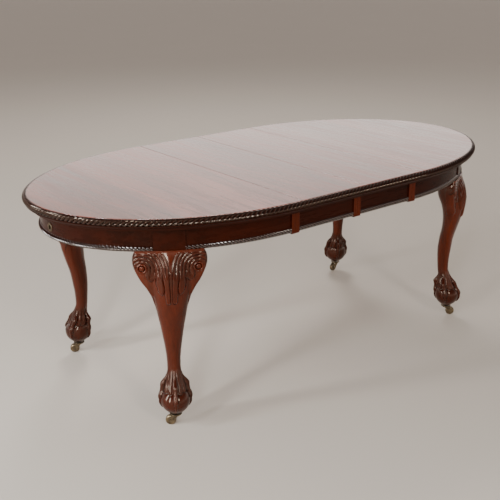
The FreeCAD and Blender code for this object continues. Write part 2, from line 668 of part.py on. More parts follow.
def make_leaf(name, side):
    """One loose leaf: board, mouldings, aprons with blocks, rope mouldings and battens."""
    x = mirrored(side, "Sizes.JoinGap / 2", "Sizes.LeafWidth - Sizes.JoinGap / 2")
    make_leaf_board(name, x)
    make_leaf_strips(name, x, "edge_mouldings", cove_stations(), COVE_BACK)
    for way_name, way in WAYS.items():
        make_leaf_apron(name, way_name, way, x)
    stop = "Sizes.BlockWidth"
    rope_x = (f"{x[0]} + {stop}", f"{x[1]} - {stop}")
    make_leaf_strips(name, rope_x, "rope_mouldings", rope_stations(), "Sizes.ApronInset")
    batten_low = f"{SLIDE_FACE} + Sizes.BattenGap"
    batten_x = (f"{x[0]} + Sizes.BattenInset", f"{x[1]} - Sizes.BattenInset")
    battens = []
    for way_name, way in WAYS.items():
        y = mirrored(way, batten_low, f"{batten_low} + Sizes.BattenWidth")
        z = (f"{BOARD_FOOT} - Sizes.BattenDepth", BOARD_FOOT)
        battens.append(box(f"batten_{way_name}_{name}", batten_x, y, z))
    node(group(f"battens_{name}", *battens), f"leaf_battens_{name}")


def make_leaf_board(name, x):
    """Straight board with the same rolled edge front and back."""
    half = [(f"Sizes.HalfWidth - ({inset})", height) for inset, height in edge_stations()]
    corners = half + [(f"-({y})", height) for y, height in reversed(half)]
    body = new_body(f"leaf_body_{name}")
    pad(body, "YZ_Plane", f"leaf_pad_{name}", lambda sketch: draw_outline(sketch, corners), x)
    node(body, f"leaf_board_{name}")


def make_leaf_strips(name, x, kind, stations, back_inset):
    """A straight moulding along the front and the back of a leaf."""
    strips = []
    for way_name, way in WAYS.items():
        corners = [(f"{way} * (Sizes.HalfWidth - ({inset}))", height) for inset, height in stations]
        back = f"{way} * (Sizes.HalfWidth - {back_inset})"
        if kind == "edge_mouldings":
            corners += [(back, stations[-1][1]), (back, stations[0][1])]
        body = new_body(f"{kind}_{way_name}_{name}")
        pad(body, "YZ_Plane", body.Name + "_pad", lambda sketch: draw_outline(sketch, corners), x)
        strips.append(body)
    node(group(f"leaf_{kind}_{name}_pair", *strips), f"leaf_{kind}_{name}")


def make_leaf_apron(name, way_name, way, x):
    """Straight apron with a plain block at each end."""
    y = mirrored(way, f"Sizes.HalfWidth - {APRON_BACK}", "Sizes.HalfWidth - Sizes.ApronInset")
    strip = box(f"leaf_strip_{way_name}_{name}", x, y, (APRON_FOOT, COVE_FOOT))
    low = make_block(f"leaf_low_{way_name}_{name}", (x[0], f"{x[0]} + Sizes.BlockWidth"), way)
    high = make_block(f"leaf_high_{way_name}_{name}", (f"{x[1]} - Sizes.BlockWidth", x[1]), way)
    node(fuse(f"leaf_apron_whole_{way_name}_{name}", strip, low, high), f"leaf_apron_{way_name}_{name}")


def make_caster(name, side, way, turn):
    """Brass caster: plate with stem and pin, swivelling horn, axle and wheel."""
    x, y = foot_point(side, way, "0", "0")
    place(make_caster_cup(name), x, y, "0")
    place(make_caster_horn(name), x, y, "0", turn)
    wheel_x = f"{x} + Sizes.Trail * cos({turn})"
    wheel_y = f"{y} + Sizes.Trail * sin({turn})"
    place(make_caster_axle(name), wheel_x, wheel_y, "Sizes.WheelRadius", turn)
    place(make_caster_wheel(name), wheel_x, wheel_y, "Sizes.WheelRadius", turn)


def make_caster_cup(name):
    """Plate under the ball, the stem that holds it and the pin that the horn turns on."""
    corners = (
        ("0", HORN_FOOT),
        ("Sizes.PivotRadius", HORN_FOOT),
        ("Sizes.PivotRadius", CUP_FOOT),
        ("Sizes.CupRadius", CUP_FOOT),
        ("Sizes.CupRadius", SOLE),
        ("Sizes.StemRadius", SOLE),
        ("Sizes.StemRadius", f"{SOLE} + Sizes.StemLength"),
        ("0", f"{SOLE} + Sizes.StemLength"),
    )
    body = new_body(f"cup_{name}")
    revolve(body, "XZ_Plane", f"cup_turned_{name}", corners, "V_Axis")
    return node(body, f"caster_plate_{name}")


def make_caster_horn(name):
    """Round plate with a cheek either side of the wheel, local +X towards the axle."""
    body = new_body(f"horn_{name}")
    plate = (HORN_FOOT, HORN_TOP)
    centre = ("0", "0")
    draw_plate = lambda sketch: draw_circle(sketch, centre, "Sizes.HornRadius")
    pad(body, "XY_Plane", f"horn_plate_{name}", draw_plate, plate)
    inner = "Sizes.WheelWidth / 2 + Sizes.CheekGap"
    outer = f"{inner} + Sizes.CheekThickness"
    flat = "Sizes.CheekRadius / 2"
    corners = (
        ("-Sizes.CheekReach", f"{HORN_TOP} - Sizes.HornThickness / 2"),
        ("Sizes.Trail - Sizes.CheekRadius", f"Sizes.WheelRadius - {flat}"),
        (f"Sizes.Trail - {flat}", "Sizes.WheelRadius - Sizes.CheekRadius"),
        (f"Sizes.Trail + {flat}", "Sizes.WheelRadius - Sizes.CheekRadius"),
        ("Sizes.Trail + Sizes.CheekRadius", f"Sizes.WheelRadius - {flat}"),
        ("Sizes.Trail + Sizes.CheekRadius", f"Sizes.WheelRadius + {flat}"),
        ("Sizes.CheekReach", HORN_TOP),
        ("-Sizes.CheekReach", HORN_TOP),
    )
    for part, span in (("a", (inner, outer)), ("b", (f"-({outer})", f"-({inner})"))):
        pad(body, "XZ_Plane", f"cheek_{part}_{name}", lambda sketch: draw_outline(sketch, corners), span)
    pivot = "Sizes.PivotRadius + Sizes.ShaftFit"
    bore(body, "XY_Plane", f"pivot_hole_{name}", centre, pivot, f"{HORN_TOP} + 1")
    axle = ("Sizes.Trail", "Sizes.WheelRadius")
    bore(body, "XZ_Plane", f"axle_hole_{name}", axle, "Sizes.AxleRadius", f"{outer} + 1")
    return node(body, f"caster_horn_{name}")


def make_caster_axle(name):
    """Riveted axle along local Y."""
    half = "(Sizes.WheelWidth / 2 + Sizes.CheekGap + Sizes.CheekThickness)"
    corners = (
        (f"-{half} - Sizes.AxleHead", "0"),
        (f"-{half} - Sizes.AxleHead", "Sizes.AxleRadius * 1.2"),
        (f"-{half}", "Sizes.AxleRadius * 1.5"),
        (f"-{half}", "Sizes.AxleRadius"),
        (half, "Sizes.AxleRadius"),
        (half, "Sizes.AxleRadius * 1.5"),
        (f"{half} + Sizes.AxleHead", "Sizes.AxleRadius * 1.2"),
        (f"{half} + Sizes.AxleHead", "0"),
    )
    body = new_body(f"axle_{name}")
    revolve(body, "YZ_Plane", f"axle_turned_{name}", corners, "H_Axis")
    return node(body, f"caster_axle_{name}")


def make_caster_wheel(name):
    """Solid wheel with a softened tread, turning on the axle."""
    half = "Sizes.WheelWidth / 2"
    hole = "Sizes.AxleRadius + Sizes.ShaftFit"
    corners = (
        (f"-{half}", hole),
        (f"-{half}", "Sizes.WheelRadius - Sizes.WheelRound"),
        (f"-{half} + Sizes.WheelRound", "Sizes.WheelRadius"),
        (f"{half} - Sizes.WheelRound", "Sizes.WheelRadius"),
        (half, "Sizes.WheelRadius - Sizes.WheelRound"),
        (half, hole),
    )
    body = new_body(f"wheel_{name}")
    revolve(body, "YZ_Plane", f"wheel_turned_{name}", corners, "H_Axis")
    return node(body, f"caster_wheel_{name}")


def make_end(name, side):
    """Everything fixed to one end of the table."""
    x = mirrored(side, JOIN, FAR)
    end_half = box(f"end_half_{name}", x, both_ways(FAR), ("0", f"Sizes.TableHeight + {FAR}"))
    make_end_top(name, side, end_half)
    make_end_moulding(name, side, end_half)
    posts = []
    ears = []
    for way_name, way in WAYS.items():
        post = make_post(name, way_name, side, way)
        shank = make_leg(name, way_name, side, way, post)
        ears += make_brackets(name, way_name, side, way, shank)
        posts.append(post)
    node(group(f"ears_{name}", *ears), f"knee_brackets_{name}")
    make_rails(name, side, end_half, posts)
    make_end_ropes(name, side, end_half)
    make_cross_rails(name, side)
    make_braces(name, side)


def check_objects():
    """Stop if any object failed or any sub-part isn't a sound solid."""
    for item in DOC.Objects:
        if "Invalid" in item.State or "Error" in item.State:
            raise RuntimeError(f"{item.Name} failed: {item.State}")
    for item in NODES:
        shape = item.Shape
        if shape.isNull() or not shape.isValid() or not shape.Solids:
            raise RuntimeError(f"{item.Label} is not a sound solid")


def write_parts():
    """One STEP file per sub-part."""
    os.makedirs("parts", exist_ok=True)
    for item in NODES:
        item.Shape.exportStep(f"parts/{item.Label}.step")
        print(f"{item.Label}: {len(item.Shape.Solids)} solid(s), {item.Shape.Volume / 1000:.1f} cm3")


def main():
    """Build the table, check it and write it."""
    for name, side in SIDES.items():
        make_end(name, side)
        make_leaf(name, side)
        for way_name, way in WAYS.items():
            turn = f"Sizes.Turn{way_name.title()}{name.title()}"
            make_caster(f"{way_name}_{name}", side, way, turn)
    make_slides()
    make_drive()
    DOC.recompute()
    check_objects()
    write_parts()


main()
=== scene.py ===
"""Looks of an oval wind-out dining table, built round its CAD frame.

Lengths are metres unless a comment says millimetres. Colours are linear. A path round the top runs
anticlockwise seen from above.
"""
import math

import bmesh
import bpy
from mathutils import Matrix, Vector


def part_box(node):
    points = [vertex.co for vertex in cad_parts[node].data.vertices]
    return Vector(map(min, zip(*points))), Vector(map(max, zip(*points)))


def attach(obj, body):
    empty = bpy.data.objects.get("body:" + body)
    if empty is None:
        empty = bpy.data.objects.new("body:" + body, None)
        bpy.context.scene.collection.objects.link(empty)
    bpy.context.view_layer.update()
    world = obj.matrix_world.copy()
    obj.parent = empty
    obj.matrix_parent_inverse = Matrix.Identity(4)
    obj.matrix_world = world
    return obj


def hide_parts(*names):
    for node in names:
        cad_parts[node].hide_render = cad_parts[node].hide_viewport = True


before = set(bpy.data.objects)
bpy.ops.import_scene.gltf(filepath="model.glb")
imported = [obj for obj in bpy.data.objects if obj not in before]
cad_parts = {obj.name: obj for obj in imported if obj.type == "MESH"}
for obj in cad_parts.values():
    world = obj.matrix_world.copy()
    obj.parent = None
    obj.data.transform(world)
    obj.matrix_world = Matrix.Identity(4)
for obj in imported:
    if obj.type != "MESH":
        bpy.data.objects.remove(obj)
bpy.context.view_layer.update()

bl_info = {
    "name": "Wind-out Dining Table",
    "version": (1, 0, 0),
    "blender": (4, 5, 0),
    "location": "View3D > Sidebar > Dining Table",
    "description": "Carved and polished pieces for an oval extending dining table",
    "category": "Add Mesh",
}

# ---------------------------------------------------------------- places and fixed sizes

MM = 0.001
SIDES = {"left": -1, "right": 1}
WAYS = {"front": -1, "back": 1}

# Vertices closer than this are one, and edges sharper than this stay crisp.
MERGE = 0.00002
SMOOTH_ANGLE = math.radians(38)
BEVEL_ANGLE = math.radians(40)
FLAT_ANGLE = math.radians(0.6)

# Rounding of the boards' rims, of the leg posts and of the metal parts.
BOARD_ARRIS = 1.3 * MM
POST_ARRIS = 1.2 * MM
BUSH_ARRIS = 0.5 * MM
METAL_ARRIS = 0.4 * MM
AXLE_ARRIS = 0.2 * MM
WHEEL_ARRIS = 0.8 * MM

# Heights and outline, from the frame: the outline of each end is half an oval beyond OVAL_X.
TOP_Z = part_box("leaf_board_left")[1].z
BOARD_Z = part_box("leaf_board_left")[0].z
COVE_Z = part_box("leaf_edge_mouldings_left")[0].z
APRON_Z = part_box("end_rail_right")[0].z
HALF_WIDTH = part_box("leaf_board_left")[1].y
LEAF_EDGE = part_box("leaf_board_right")[1].x
JOIN_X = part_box("side_rail_front_right")[0].x
OVAL_X = (LEAF_EDGE + JOIN_X) / 2
ROLL_INSET = 16 * MM
APRON_INSET = 55 * MM
APRON_BACK = 78 * MM
OVAL_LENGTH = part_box("end_rail_right")[1].x + APRON_INSET - OVAL_X
ROPE_PROUD = 8 * MM
ROPE_HEIGHT = 17 * MM
BLOCK_WIDTH = 17 * MM
BLOCK_GAP = 1 * MM
BLOCK_PROUD = 0.6 * MM

# The legs stand over the casters and face out across the oval.
LEG_TURN = math.radians(58.5)
POST_HALF = 52 * MM
POST_BACK = 73 * MM
POST_INSET = 51 * MM
SOLE_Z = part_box("leg_front_right")[0].z
PLATES = {f"{way}_{side}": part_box(f"caster_plate_{way}_{side}") for way in WAYS for side in SIDES}
SWIVEL = {corner: (low + high) / 2 for corner, (low, high) in PLATES.items()}

# Columns in a lobe or strand, and round a leg.
LOBE_COLUMNS = 6
LEG_COLUMNS = 220

# Rolled edge, from the flat top down: share of the way in, share of the board's thickness down, and
# share of the carving's depth.
ROLL = (
    (1.0, 0.07, 0.0),
    (0.9, 0.03, 0.1),
    (0.8, 0.01, 0.3),
    (0.64, 0.03, 0.55),
    (0.42, 0.11, 0.75),
    (0.2, 0.25, 0.95),
    (0.05, 0.43, 1.0),
    (0.0, 0.6, 1.0),
    (0.06, 0.82, 1.0),
    (0.24, 0.96, 0.9),
    (0.5, 1.0, 0.2),
)

# ---------------------------------------------------------------- shape of a leg, in millimetres

# Sections from the sole up: share of the height to the apron, centre forward of the foot's, half
# depth and half width.
LEG_SECTIONS = (
    (0.0, 2.0, 27.0, 28.0),
    (0.03, 1.0, 45.0, 46.0),
    (0.07, 0.0, 53.0, 55.0),
    (0.105, 0.0, 54.0, 57.0),
    (0.145, -6.0, 49.0, 51.0),
    (0.188, -15.0, 36.0, 40.0),
    (0.225, -18.0, 25.0, 27.0),
    (0.275, -25.0, 22.5, 23.0),
    (0.36, -28.0, 24.5, 25.0),
    (0.44, -27.0, 28.0, 31.0),
    (0.53, -22.0, 29.0, 38.5),
    (0.61, -12.5, 31.5, 46.5),
    (0.695, -5.5, 37.5, 53.5),
    (0.775, -6.0, 45.5, 57.0),
    (0.855, -14.0, 56.0, 58.0),
    (0.93, -19.0, 54.0, 55.0),
    (1.0, -28.0, 44.0, 52.0),
)
# Outline of a knee ear: depth below the apron, and reach from the leg's middle.
EAR_OUTLINE = (
    (0, 110.5),
    (18, 118),
    (43, 119),
    (67, 112),
    (98, 97),
    (130, 76),
    (155, 64),
    (185, 55.5),
    (215, 50),
)
# A claw from the ankle down to the nail: height above the sole, reach from the leg's axis and half
# width.
CLAW = (
    (172, 20, 7),
    (150, 24, 8),
    (133, 31, 8),
    (121, 41, 9),
    (110, 49, 11.5),
    (98, 50, 9.5),
    (86, 52, 8.5),
    (74, 57, 10.5),
    (64, 58.5, 10.5),
    (55, 56.5, 8),
    (48, 56.5, 7),
    (41, 55.5, 6),
    (34, 52.5, 4.5),
    (27, 48, 2.5),
    (23, 44, 0.6),
)
# The ball's clearance over the sole, the skin's lower rim and folds, and where foot meets ankle.
BALL_LIFT = 3
SKIN_RIM = 74
SKIN_SAG = 8
FOLD_ANGLE = math.radians(29)
FOLD_WIDTH = 6.5
FOLD_HEIGHT = 3.2
FOOT_TOP = 172
FOOT_BLEND = 32
SKIN_RADIUS = (22, 37)
CLAW_BLEND = 1.5
# Share of the girth given to the front, and the ears' front face, back face and rounded rims.
FRONT_SHARE = 15 / 22
EAR_FRONT = 16
EAR_BACK = -24
EAR_RIM = 9.0
EAR_BACK_RIM = 4
EAR_BLEND = 14.0

# Knee carving. The eye's place, across from the middle and down from the apron; its button, the
# groove round that, and the ring's outer radius.
EYE_ACROSS = 90.0
EYE_DOWN = 55.0
BUTTON = 8.5
BUTTON_HEIGHT = 4.2
BUTTON_GROOVE = 10.5
GROOVE_DEPTH = 1.2
RING = 17.0
RING_HEIGHT = 3.0
# The leaf's outer line, counted from the eye; its ridges; and how far below the apron its lobes end,
# from the eye to the middle.
LEAF_END = 85.0
LEAF_RIDGES = 6
LOBE_TIPS = (100.0, 141.0, 174.0)
LEAF_TIP = LOBE_TIPS[-1] + 6
# Height of the leaf's ground, and of the rounding of its lobes.
LEAF_GROUND = 1.5
LOBE_ROUNDING = 4.0

# ---------------------------------------------------------------- finishes, light and camera

# Share of darkening over a whole foot.
FOOT_DARKENING = 0.5
# Warm tint of the polish's reflections.
WARM = (1.0, 0.80, 0.62)
TOP_POLISH = {"coat": 1.0, "rough": (0.16, 0.42)}
APRON_POLISH = {"gloss": 0.10, "rough": (0.2, 0.35), "tint": WARM}
CARVED_ROUGH = (0.05, 0.10)
# Polished woods: which two colours, axis of the grain, and what differs from plain polish.
WOODS = {
    "polished_left": ("top", "Y", {"offset": (0.31, 0.2, 0.0), **TOP_POLISH}),
    "polished_right": ("top", "Y", {"offset": (1.27, 0.6, 0.0), **TOP_POLISH}),
    "polished_leaf_left": ("top", "Y", {"offset": (2.11, 0.9, 0.0), **TOP_POLISH}),
    "polished_leaf_right": ("top", "Y", {"offset": (3.43, 0.4, 0.0), **TOP_POLISH}),
    "carved": ("apron", "X", {"uv": True, "gloss": 0.5, "rough": CARVED_ROUGH, "tint": WARM}),
    "rope": ("apron", "X", {"uv": True, "coat": 0.3, "gloss": 1.0, "rough": CARVED_ROUGH,
                            "tint": (1.0, 0.92, 0.84)}),
    "cove": ("apron", "X", {"uv": True, "gloss": 0.12, "tint": WARM}),
    "carved_leg": ("wood", "Z", {"gloss": 0.34, "rough": (0.07, 0.16), "tint": WARM}),
    "apron": ("apron", "X", APRON_POLISH),
    "apron_end": ("apron", "Y", APRON_POLISH),
}
# How far a pattern is drawn out along the grain, and its scale across it, per metre.
RIBBON_DRAW, PORE_DRAW, RING_DRAW = 0.09, 0.035, 0.06
DRIFT_SCALE, RIBBON_SCALE, PORE_SCALE, RING_SCALE = 7.0, 42.0, 620.0, 60.0
SMUDGE = (0.12, 0.07, 0.035)

# Soft lamps: place, target, size, power in watts and tint.
WINDOW_TARGET, WINDOW_SIZE, WINDOW_TINT = (-0.5, 0.0, 0.6), (0.45, 2.4), (0.90, 0.95, 1.0)
LAMPS = {
    "window_left_1": ((-4.4, 0.9, 2.1), WINDOW_TARGET, WINDOW_SIZE, 125, WINDOW_TINT),
    "window_left_2": ((-4.4, -1.1, 2.1), WINDOW_TARGET, WINDOW_SIZE, 125, WINDOW_TINT),
    "window_left_3": ((-3.6, -3.1, 2.1), WINDOW_TARGET, WINDOW_SIZE, 125, WINDOW_TINT),
    "window_front": ((-1.0, -5.0, 3.4), (0.0, 0.0, 0.5), (0.7, 1.6), 75, (1.0, 0.97, 0.92)),
    "skylight": ((2.4, 3.6, 4.6), (0.2, 0.0, 0.5), (1.6, 1.6), 130, (1.0, 0.99, 0.97)),
}
# Light all round: height of the direction, 0 level and 1 straight up, and strength there.
SKY_LOW, SKY_HIGH = (0.0, 1.0), (0.85, 0.12)
SKY_BETWEEN = ((0.21, 1.0), (0.29, 0.6), (0.5, 0.2))
SKY_STRENGTH = 1.62
FLOOR_HALF = 40.0

# Camera: place, pitch down, turn towards the right, roll, and lens and sensor in millimetres.
CAMERA_PLACE = (-2.0427, -2.4228, 1.5293)
CAMERA_ANGLES = (20.15, 38.566, -0.258)
CAMERA_LENS = 59.69
CAMERA_SENSOR = 36.0


# ---------------------------------------------------------------- settings

class TableSizes(bpy.types.PropertyGroup):
    """Sizes of the carving and of the edges."""

    lobe_pitch: bpy.props.FloatProperty(
        name="Lobe pitch", description="Spacing of the carved lobes round the top's edge",
        default=17.0 * MM, min=5 * MM, unit="LENGTH")
    lobe_depth: bpy.props.FloatProperty(
        name="Lobe depth", description="Depth of the grooves between the lobes",
        default=5.2 * MM, min=0.0, unit="LENGTH")
    lobe_lean: bpy.props.FloatProperty(
        name="Lobe lean", description="How far a lobe's top stands to the right of its foot",
        default=27.0 * MM, unit="LENGTH")
    strand_pitch: bpy.props.FloatProperty(
        name="Strand pitch", description="Spacing of the strands of the rope moulding",
        default=14.0 * MM, min=4 * MM, unit="LENGTH")
    strand_depth: bpy.props.FloatProperty(
        name="Strand depth", description="Depth of the grooves between the strands",
        default=4.8 * MM, min=0.0, unit="LENGTH")
    strand_lean: bpy.props.FloatProperty(
        name="Strand lean", description="How far a strand's top stands to the left of its foot",
        default=20.0 * MM, unit="LENGTH")
    leaf_relief: bpy.props.FloatProperty(
        name="Leaf relief", description="Height of the carved ridges on the knees",
        default=3.4 * MM, min=0.0, unit="LENGTH")
    ball_radius: bpy.props.FloatProperty(
        name="Ball radius", description="Radius of the ball held by the claws",
        default=50.0 * MM, min=20 * MM, unit="LENGTH")
    thread_lead: bpy.props.FloatProperty(
        name="Thread lead", description="Travel of the drive screw's nut in one turn",
        default=12.0 * MM, min=2 * MM, unit="LENGTH")
    thread_depth: bpy.props.FloatProperty(
        name="Thread depth", description="Depth of the drive screw's thread",
        default=1.6 * MM, min=0.0, unit="LENGTH")
    softening: bpy.props.FloatProperty(
        name="Softened corners", description="Rounding of sawn corners",
        default=0.8 * MM, min=0.0, unit="LENGTH")


def colour(name, description, value):
    """A linear colour setting."""
    return bpy.props.FloatVectorProperty(
        name=name, description=description, default=value, size=3, min=0.0, max=1.0,
        subtype="COLOR")


class TableColours(bpy.types.PropertyGroup):
    """Linear colours of the finishes."""

    top_dark: colour(
        "Top, dark grain", "Dark grain lines of the polished top", (0.050, 0.0085, 0.0036))
    top_light: colour("Top, light grain", "Light figure of the polished top", (0.35, 0.060, 0.025))
    wood_dark: colour(
        "Mahogany, dark", "Dark grain of the legs", (0.030, 0.0034, 0.0011))
    wood_light: colour(
        "Mahogany, light", "Light grain of the legs", (0.096, 0.0115, 0.0026))
    apron_dark: colour("Aprons, dark", "Dark grain of the aprons", (0.007, 0.0011, 0.0005))
    apron_light: colour("Aprons, light", "Light grain of the aprons", (0.027, 0.0033, 0.0009))
    # Brighter, redder colour painted on the join blocks as the light their flat, proud faces catch.
    block: colour(
        "Join blocks", "Brighter, redder colour painted as the light the join blocks catch", (0.085, 0.012, 0.0035))
    # Near-black colour painted as shade in the carving's grooves and creases, and blended over the
    # knees and feet to darken them.
    hollow: colour("Shade and darkening", "Shade painted in grooves and creases, and darkening of knees and feet", (0.0045, 0.0016, 0.0011))
    inner_dark: colour("Frame wood, dark", "Dark grain of the unpolished frame", (0.20, 0.11, 0.05))
    inner_light: colour(
        "Frame wood, light", "Light grain of the unpolished frame", (0.43, 0.28, 0.15))
    brass: colour("Brass", "Rubbed brass", (0.24, 0.18, 0.105))
    tarnish: colour("Tarnish", "Brown tarnish on the brass", (0.07, 0.05, 0.034))
    steel: colour("Steel", "Oiled steel", (0.36, 0.35, 0.34))
    floor: colour("Floor", "Plain floor", (0.60, 0.53, 0.45))
    daylight: colour("Daylight", "Soft light all round", (1.0, 0.90, 0.84))


def sizes():
    """The scene's size settings."""
    return bpy.context.scene.dining_table_sizes


def colours():
    """The scene's colour settings."""
    return bpy.context.scene.dining_table_colours


# ---------------------------------------------------------------- materials

def new_material(name):
    """An empty node material with its shader."""
    material = bpy.data.materials.new(name)
    material.use_nodes = True
    tree = material.node_tree
    tree.nodes.clear()
    output = tree.nodes.new("ShaderNodeOutputMaterial")
    shader = tree.nodes.new("ShaderNodeBsdfPrincipled")
    tree.links.new(shader.outputs["BSDF"], output.inputs["Surface"])
    return material, tree, shader


def add_node(tree, kind, settings=None, **inputs):
    """A node with its inputs set or linked; an underscore stands for a space, _2 for input 2."""
    item = tree.nodes.new("ShaderNode" + kind)
    for key, value in (settings or {}).items():
        setattr(item, key, value)
    for key, value in inputs.items():
        socket = item.inputs[int(key[1:]) if key[1:].isdigit() else key.replace("_", " ")]
        if isinstance(value, bpy.types.NodeSocket):
            tree.links.new(value, socket)
        else:
            socket.default_value = value
    return item


def grain_space(tree, uv=False, stretch=(1, 1, 1), offset=(0, 0, 0)):
    """Object or UV coordinates, stretched and moved."""
    source = add_node(tree, "TexCoord").outputs["UV" if uv else "Object"]
    mapping = add_node(tree, "Mapping", Vector=source, Scale=stretch, Location=offset)
    return mapping.outputs["Vector"]


def drawn_out(axis, share):
    """A stretch that draws a pattern out along one axis."""
    return [share if name == axis else 1.0 for name in "XYZ"]


def noise(tree, vector, scale, detail=4.0, roughness=0.55, distortion=0.0):
    """Grey noise, 0 to 1."""
    item = add_node(tree, "TexNoise", Vector=vector, Scale=scale, Detail=detail,
                    Roughness=roughness, Distortion=distortion)
    return item.outputs["Fac"]


def spread(tree, value, low, high, out_low=0.0, out_high=1.0):
    """A value moved from one range to another, and kept in it."""
    item = add_node(tree, "MapRange", Value=value, From_Min=low, From_Max=high, To_Min=out_low,
                    To_Max=out_high)
    return item.outputs["Result"]


def blend_colours(tree, factor, first, second):
    """Two colours mixed by a factor."""
    item = add_node(tree, "Mix", {"data_type": "RGBA"}, _0=factor, _6=first, _7=second)
    return item.outputs[2]


def shaded(value, share):
    """A colour made darker."""
    return [share * part for part in value]


def rgba(value):
    """A colour setting with full alpha."""
    return (*value, 1.0)


def wood(name, dark, light, axis, uv=False, offset=(0, 0, 0), coat=0.0, gloss=0.5,
         rough=(0.22, 0.38), tint=(1.0, 1.0, 1.0)):
    """Polished mahogany: drifting figure, ribbon streaks and fine pores along one axis."""
    material, tree, shader = new_material(name)
    space = grain_space(tree, uv, drawn_out(axis, RIBBON_DRAW), offset)
    drift = noise(tree, space, DRIFT_SCALE, 3.0, 0.5, 0.6)
    ribbon = noise(tree, space, RIBBON_SCALE, 5.0, 0.6, 0.35)
    pore_space = grain_space(tree, uv, drawn_out(axis, PORE_DRAW), offset)
    pores = noise(tree, pore_space, PORE_SCALE, 2.0, 0.5)
    streaks = add_node(tree, "Math", {"operation": "MULTIPLY"}, _0=ribbon, _1=0.55)
    figure = add_node(tree, "Math", {"operation": "MULTIPLY_ADD"}, _0=drift, _1=0.75,
                      _2=streaks.outputs[0])
    level = spread(tree, figure.outputs[0], 0.42, 0.86)
    base = blend_colours(tree, level, rgba(dark), rgba(light))
    pore_mask = spread(tree, pores, 0.56, 0.72, 0.0, 0.55)
    base = blend_colours(tree, pore_mask, base, rgba(shaded(dark, 0.35)))
    # Painted shade: a value stored on the mesh blends in the near-black colour in grooves and
    # creases, and darkens the knees and feet.
    hollow = add_node(tree, "Attribute", {"attribute_name": "hollow"}).outputs["Fac"]
    base = blend_colours(tree, hollow, base, rgba(colours().hollow))
    tree.links.new(base, shader.inputs["Base Color"])
    tree.links.new(spread(tree, ribbon, 0.3, 0.7, *rough), shader.inputs["Roughness"])
    bump = add_node(tree, "Bump", Strength=0.12, Distance=0.0004, Height=pores)
    tree.links.new(bump.outputs["Normal"], shader.inputs["Normal"])
    shader.inputs["Specular IOR Level"].default_value = gloss
    shader.inputs["Specular Tint"].default_value = (*tint, 1.0)
    shader.inputs["Coat Weight"].default_value = coat
    shader.inputs["Coat Roughness"].default_value = 0.05
    shader.inputs["Coat IOR"].default_value = 1.6
    return material


def raw_wood(name, axis):
    """Unpolished frame timber with straight grain and handling marks."""
    material, tree, shader = new_material(name)
    space = grain_space(tree, False, drawn_out(axis, RING_DRAW), (0.3, 0.1, 0.7))
    rings = noise(tree, space, RING_SCALE, 4.0, 0.6, 0.8)
    smudge = noise(tree, grain_space(tree), 9.0, 4.0, 0.6)
    base = blend_colours(tree, spread(tree, rings, 0.35, 0.68), rgba(colours().inner_dark),
                         rgba(colours().inner_light))
    base = blend_colours(tree, spread(tree, smudge, 0.5, 0.75, 0.0, 0.45), base, rgba(SMUDGE))
    tree.links.new(base, shader.inputs["Base Color"])
    tree.links.new(spread(tree, smudge, 0.3, 0.7, 0.5, 0.72), shader.inputs["Roughness"])
    bump = add_node(tree, "Bump", Strength=0.25, Distance=0.0005, Height=rings)
    tree.links.new(bump.outputs["Normal"], shader.inputs["Normal"])
    return material


def metal(name, bright, dull, *rough):
    """Worn metal with tarnish in patches."""
    material, tree, shader = new_material(name)
    space = grain_space(tree, offset=(0.2, 0.4, 0.1))
    patches = noise(tree, space, 85.0, 5.0, 0.65, 0.4)
    scratches = noise(tree, grain_space(tree, stretch=(1, 1, 0.15)), 700.0, 2.0)
    base = blend_colours(tree, spread(tree, patches, 0.36, 0.64), rgba(bright), rgba(dull))
    tree.links.new(base, shader.inputs["Base Color"])
    tree.links.new(spread(tree, patches, 0.3, 0.7, *rough), shader.inputs["Roughness"])
    bump = add_node(tree, "Bump", Strength=0.15, Distance=0.0003, Height=scratches)
    tree.links.new(bump.outputs["Normal"], shader.inputs["Normal"])
    shader.inputs["Metallic"].default_value = 1.0
    return material


def plain(name, value, rough):
    """A plain studio surface with a faint mottle."""
    material, tree, shader = new_material(name)
    mottle = noise(tree, grain_space(tree), 1.3, 3.0)
    base = blend_colours(tree, mottle, rgba(value), rgba(shaded(value, 0.96)))
    tree.links.new(base, shader.inputs["Base Color"])
    shader.inputs["Roughness"].default_value = rough
    return material


def finish_for(name):
    """The named finish, made the first time it is asked for."""
    if name in bpy.data.materials:
        return bpy.data.materials[name]
    c = colours()
    if name in WOODS:
        pair, axis, polish = WOODS[name]
        return wood(name, getattr(c, f"{pair}_dark"), getattr(c, f"{pair}_light"), axis, **polish)
    makers = {
        # Join blocks, painted brighter and redder as the light their proud faces catch.
        "block": lambda: wood(name, shaded(c.block, 0.5), c.block, "Z", gloss=0.12, tint=WARM),
        "frame_x": lambda: raw_wood(name, "X"),
        "frame_y": lambda: raw_wood(name, "Y"),
        "brass": lambda: metal(name, c.brass, c.tarnish, 0.28, 0.5),
        "steel": lambda: metal(name, c.steel, shaded(c.steel, 0.4), 0.25, 0.45),
        "floor": lambda: plain(name, c.floor, 0.6),
    }
    return makers[name]()


# ---------------------------------------------------------------- mesh tools

def new_object(name, bm, finish, smooth=True):
    """A mesh object at the origin from a bmesh, with its finish and crisp corners."""
    mesh = bpy.data.meshes.new(name)
    for face in bm.faces:
        face.smooth = smooth
    bm.to_mesh(mesh)
    bm.free()
    if smooth:
        mesh.set_sharp_from_angle(angle=SMOOTH_ANGLE)
    mesh.materials.append(finish_for(finish))
    item = bpy.data.objects.new(name, mesh)
    bpy.context.scene.collection.objects.link(item)
    return item


def mount(item, body, slot, *nodes):
    """Ride on a body and stand for CAD nodes; the slot is not used."""
    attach(item, body)
    if nodes:
        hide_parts(*nodes)
    return item


def soften(item, width, segments=2):
    """Round the sharp corners of a piece."""
    bevel = item.modifiers.new("Softened corners", "BEVEL")
    bevel.width = width
    bevel.segments = segments
    bevel.limit_method = "ANGLE"
    bevel.angle_limit = BEVEL_ANGLE
    bevel.harden_normals = True
    return item


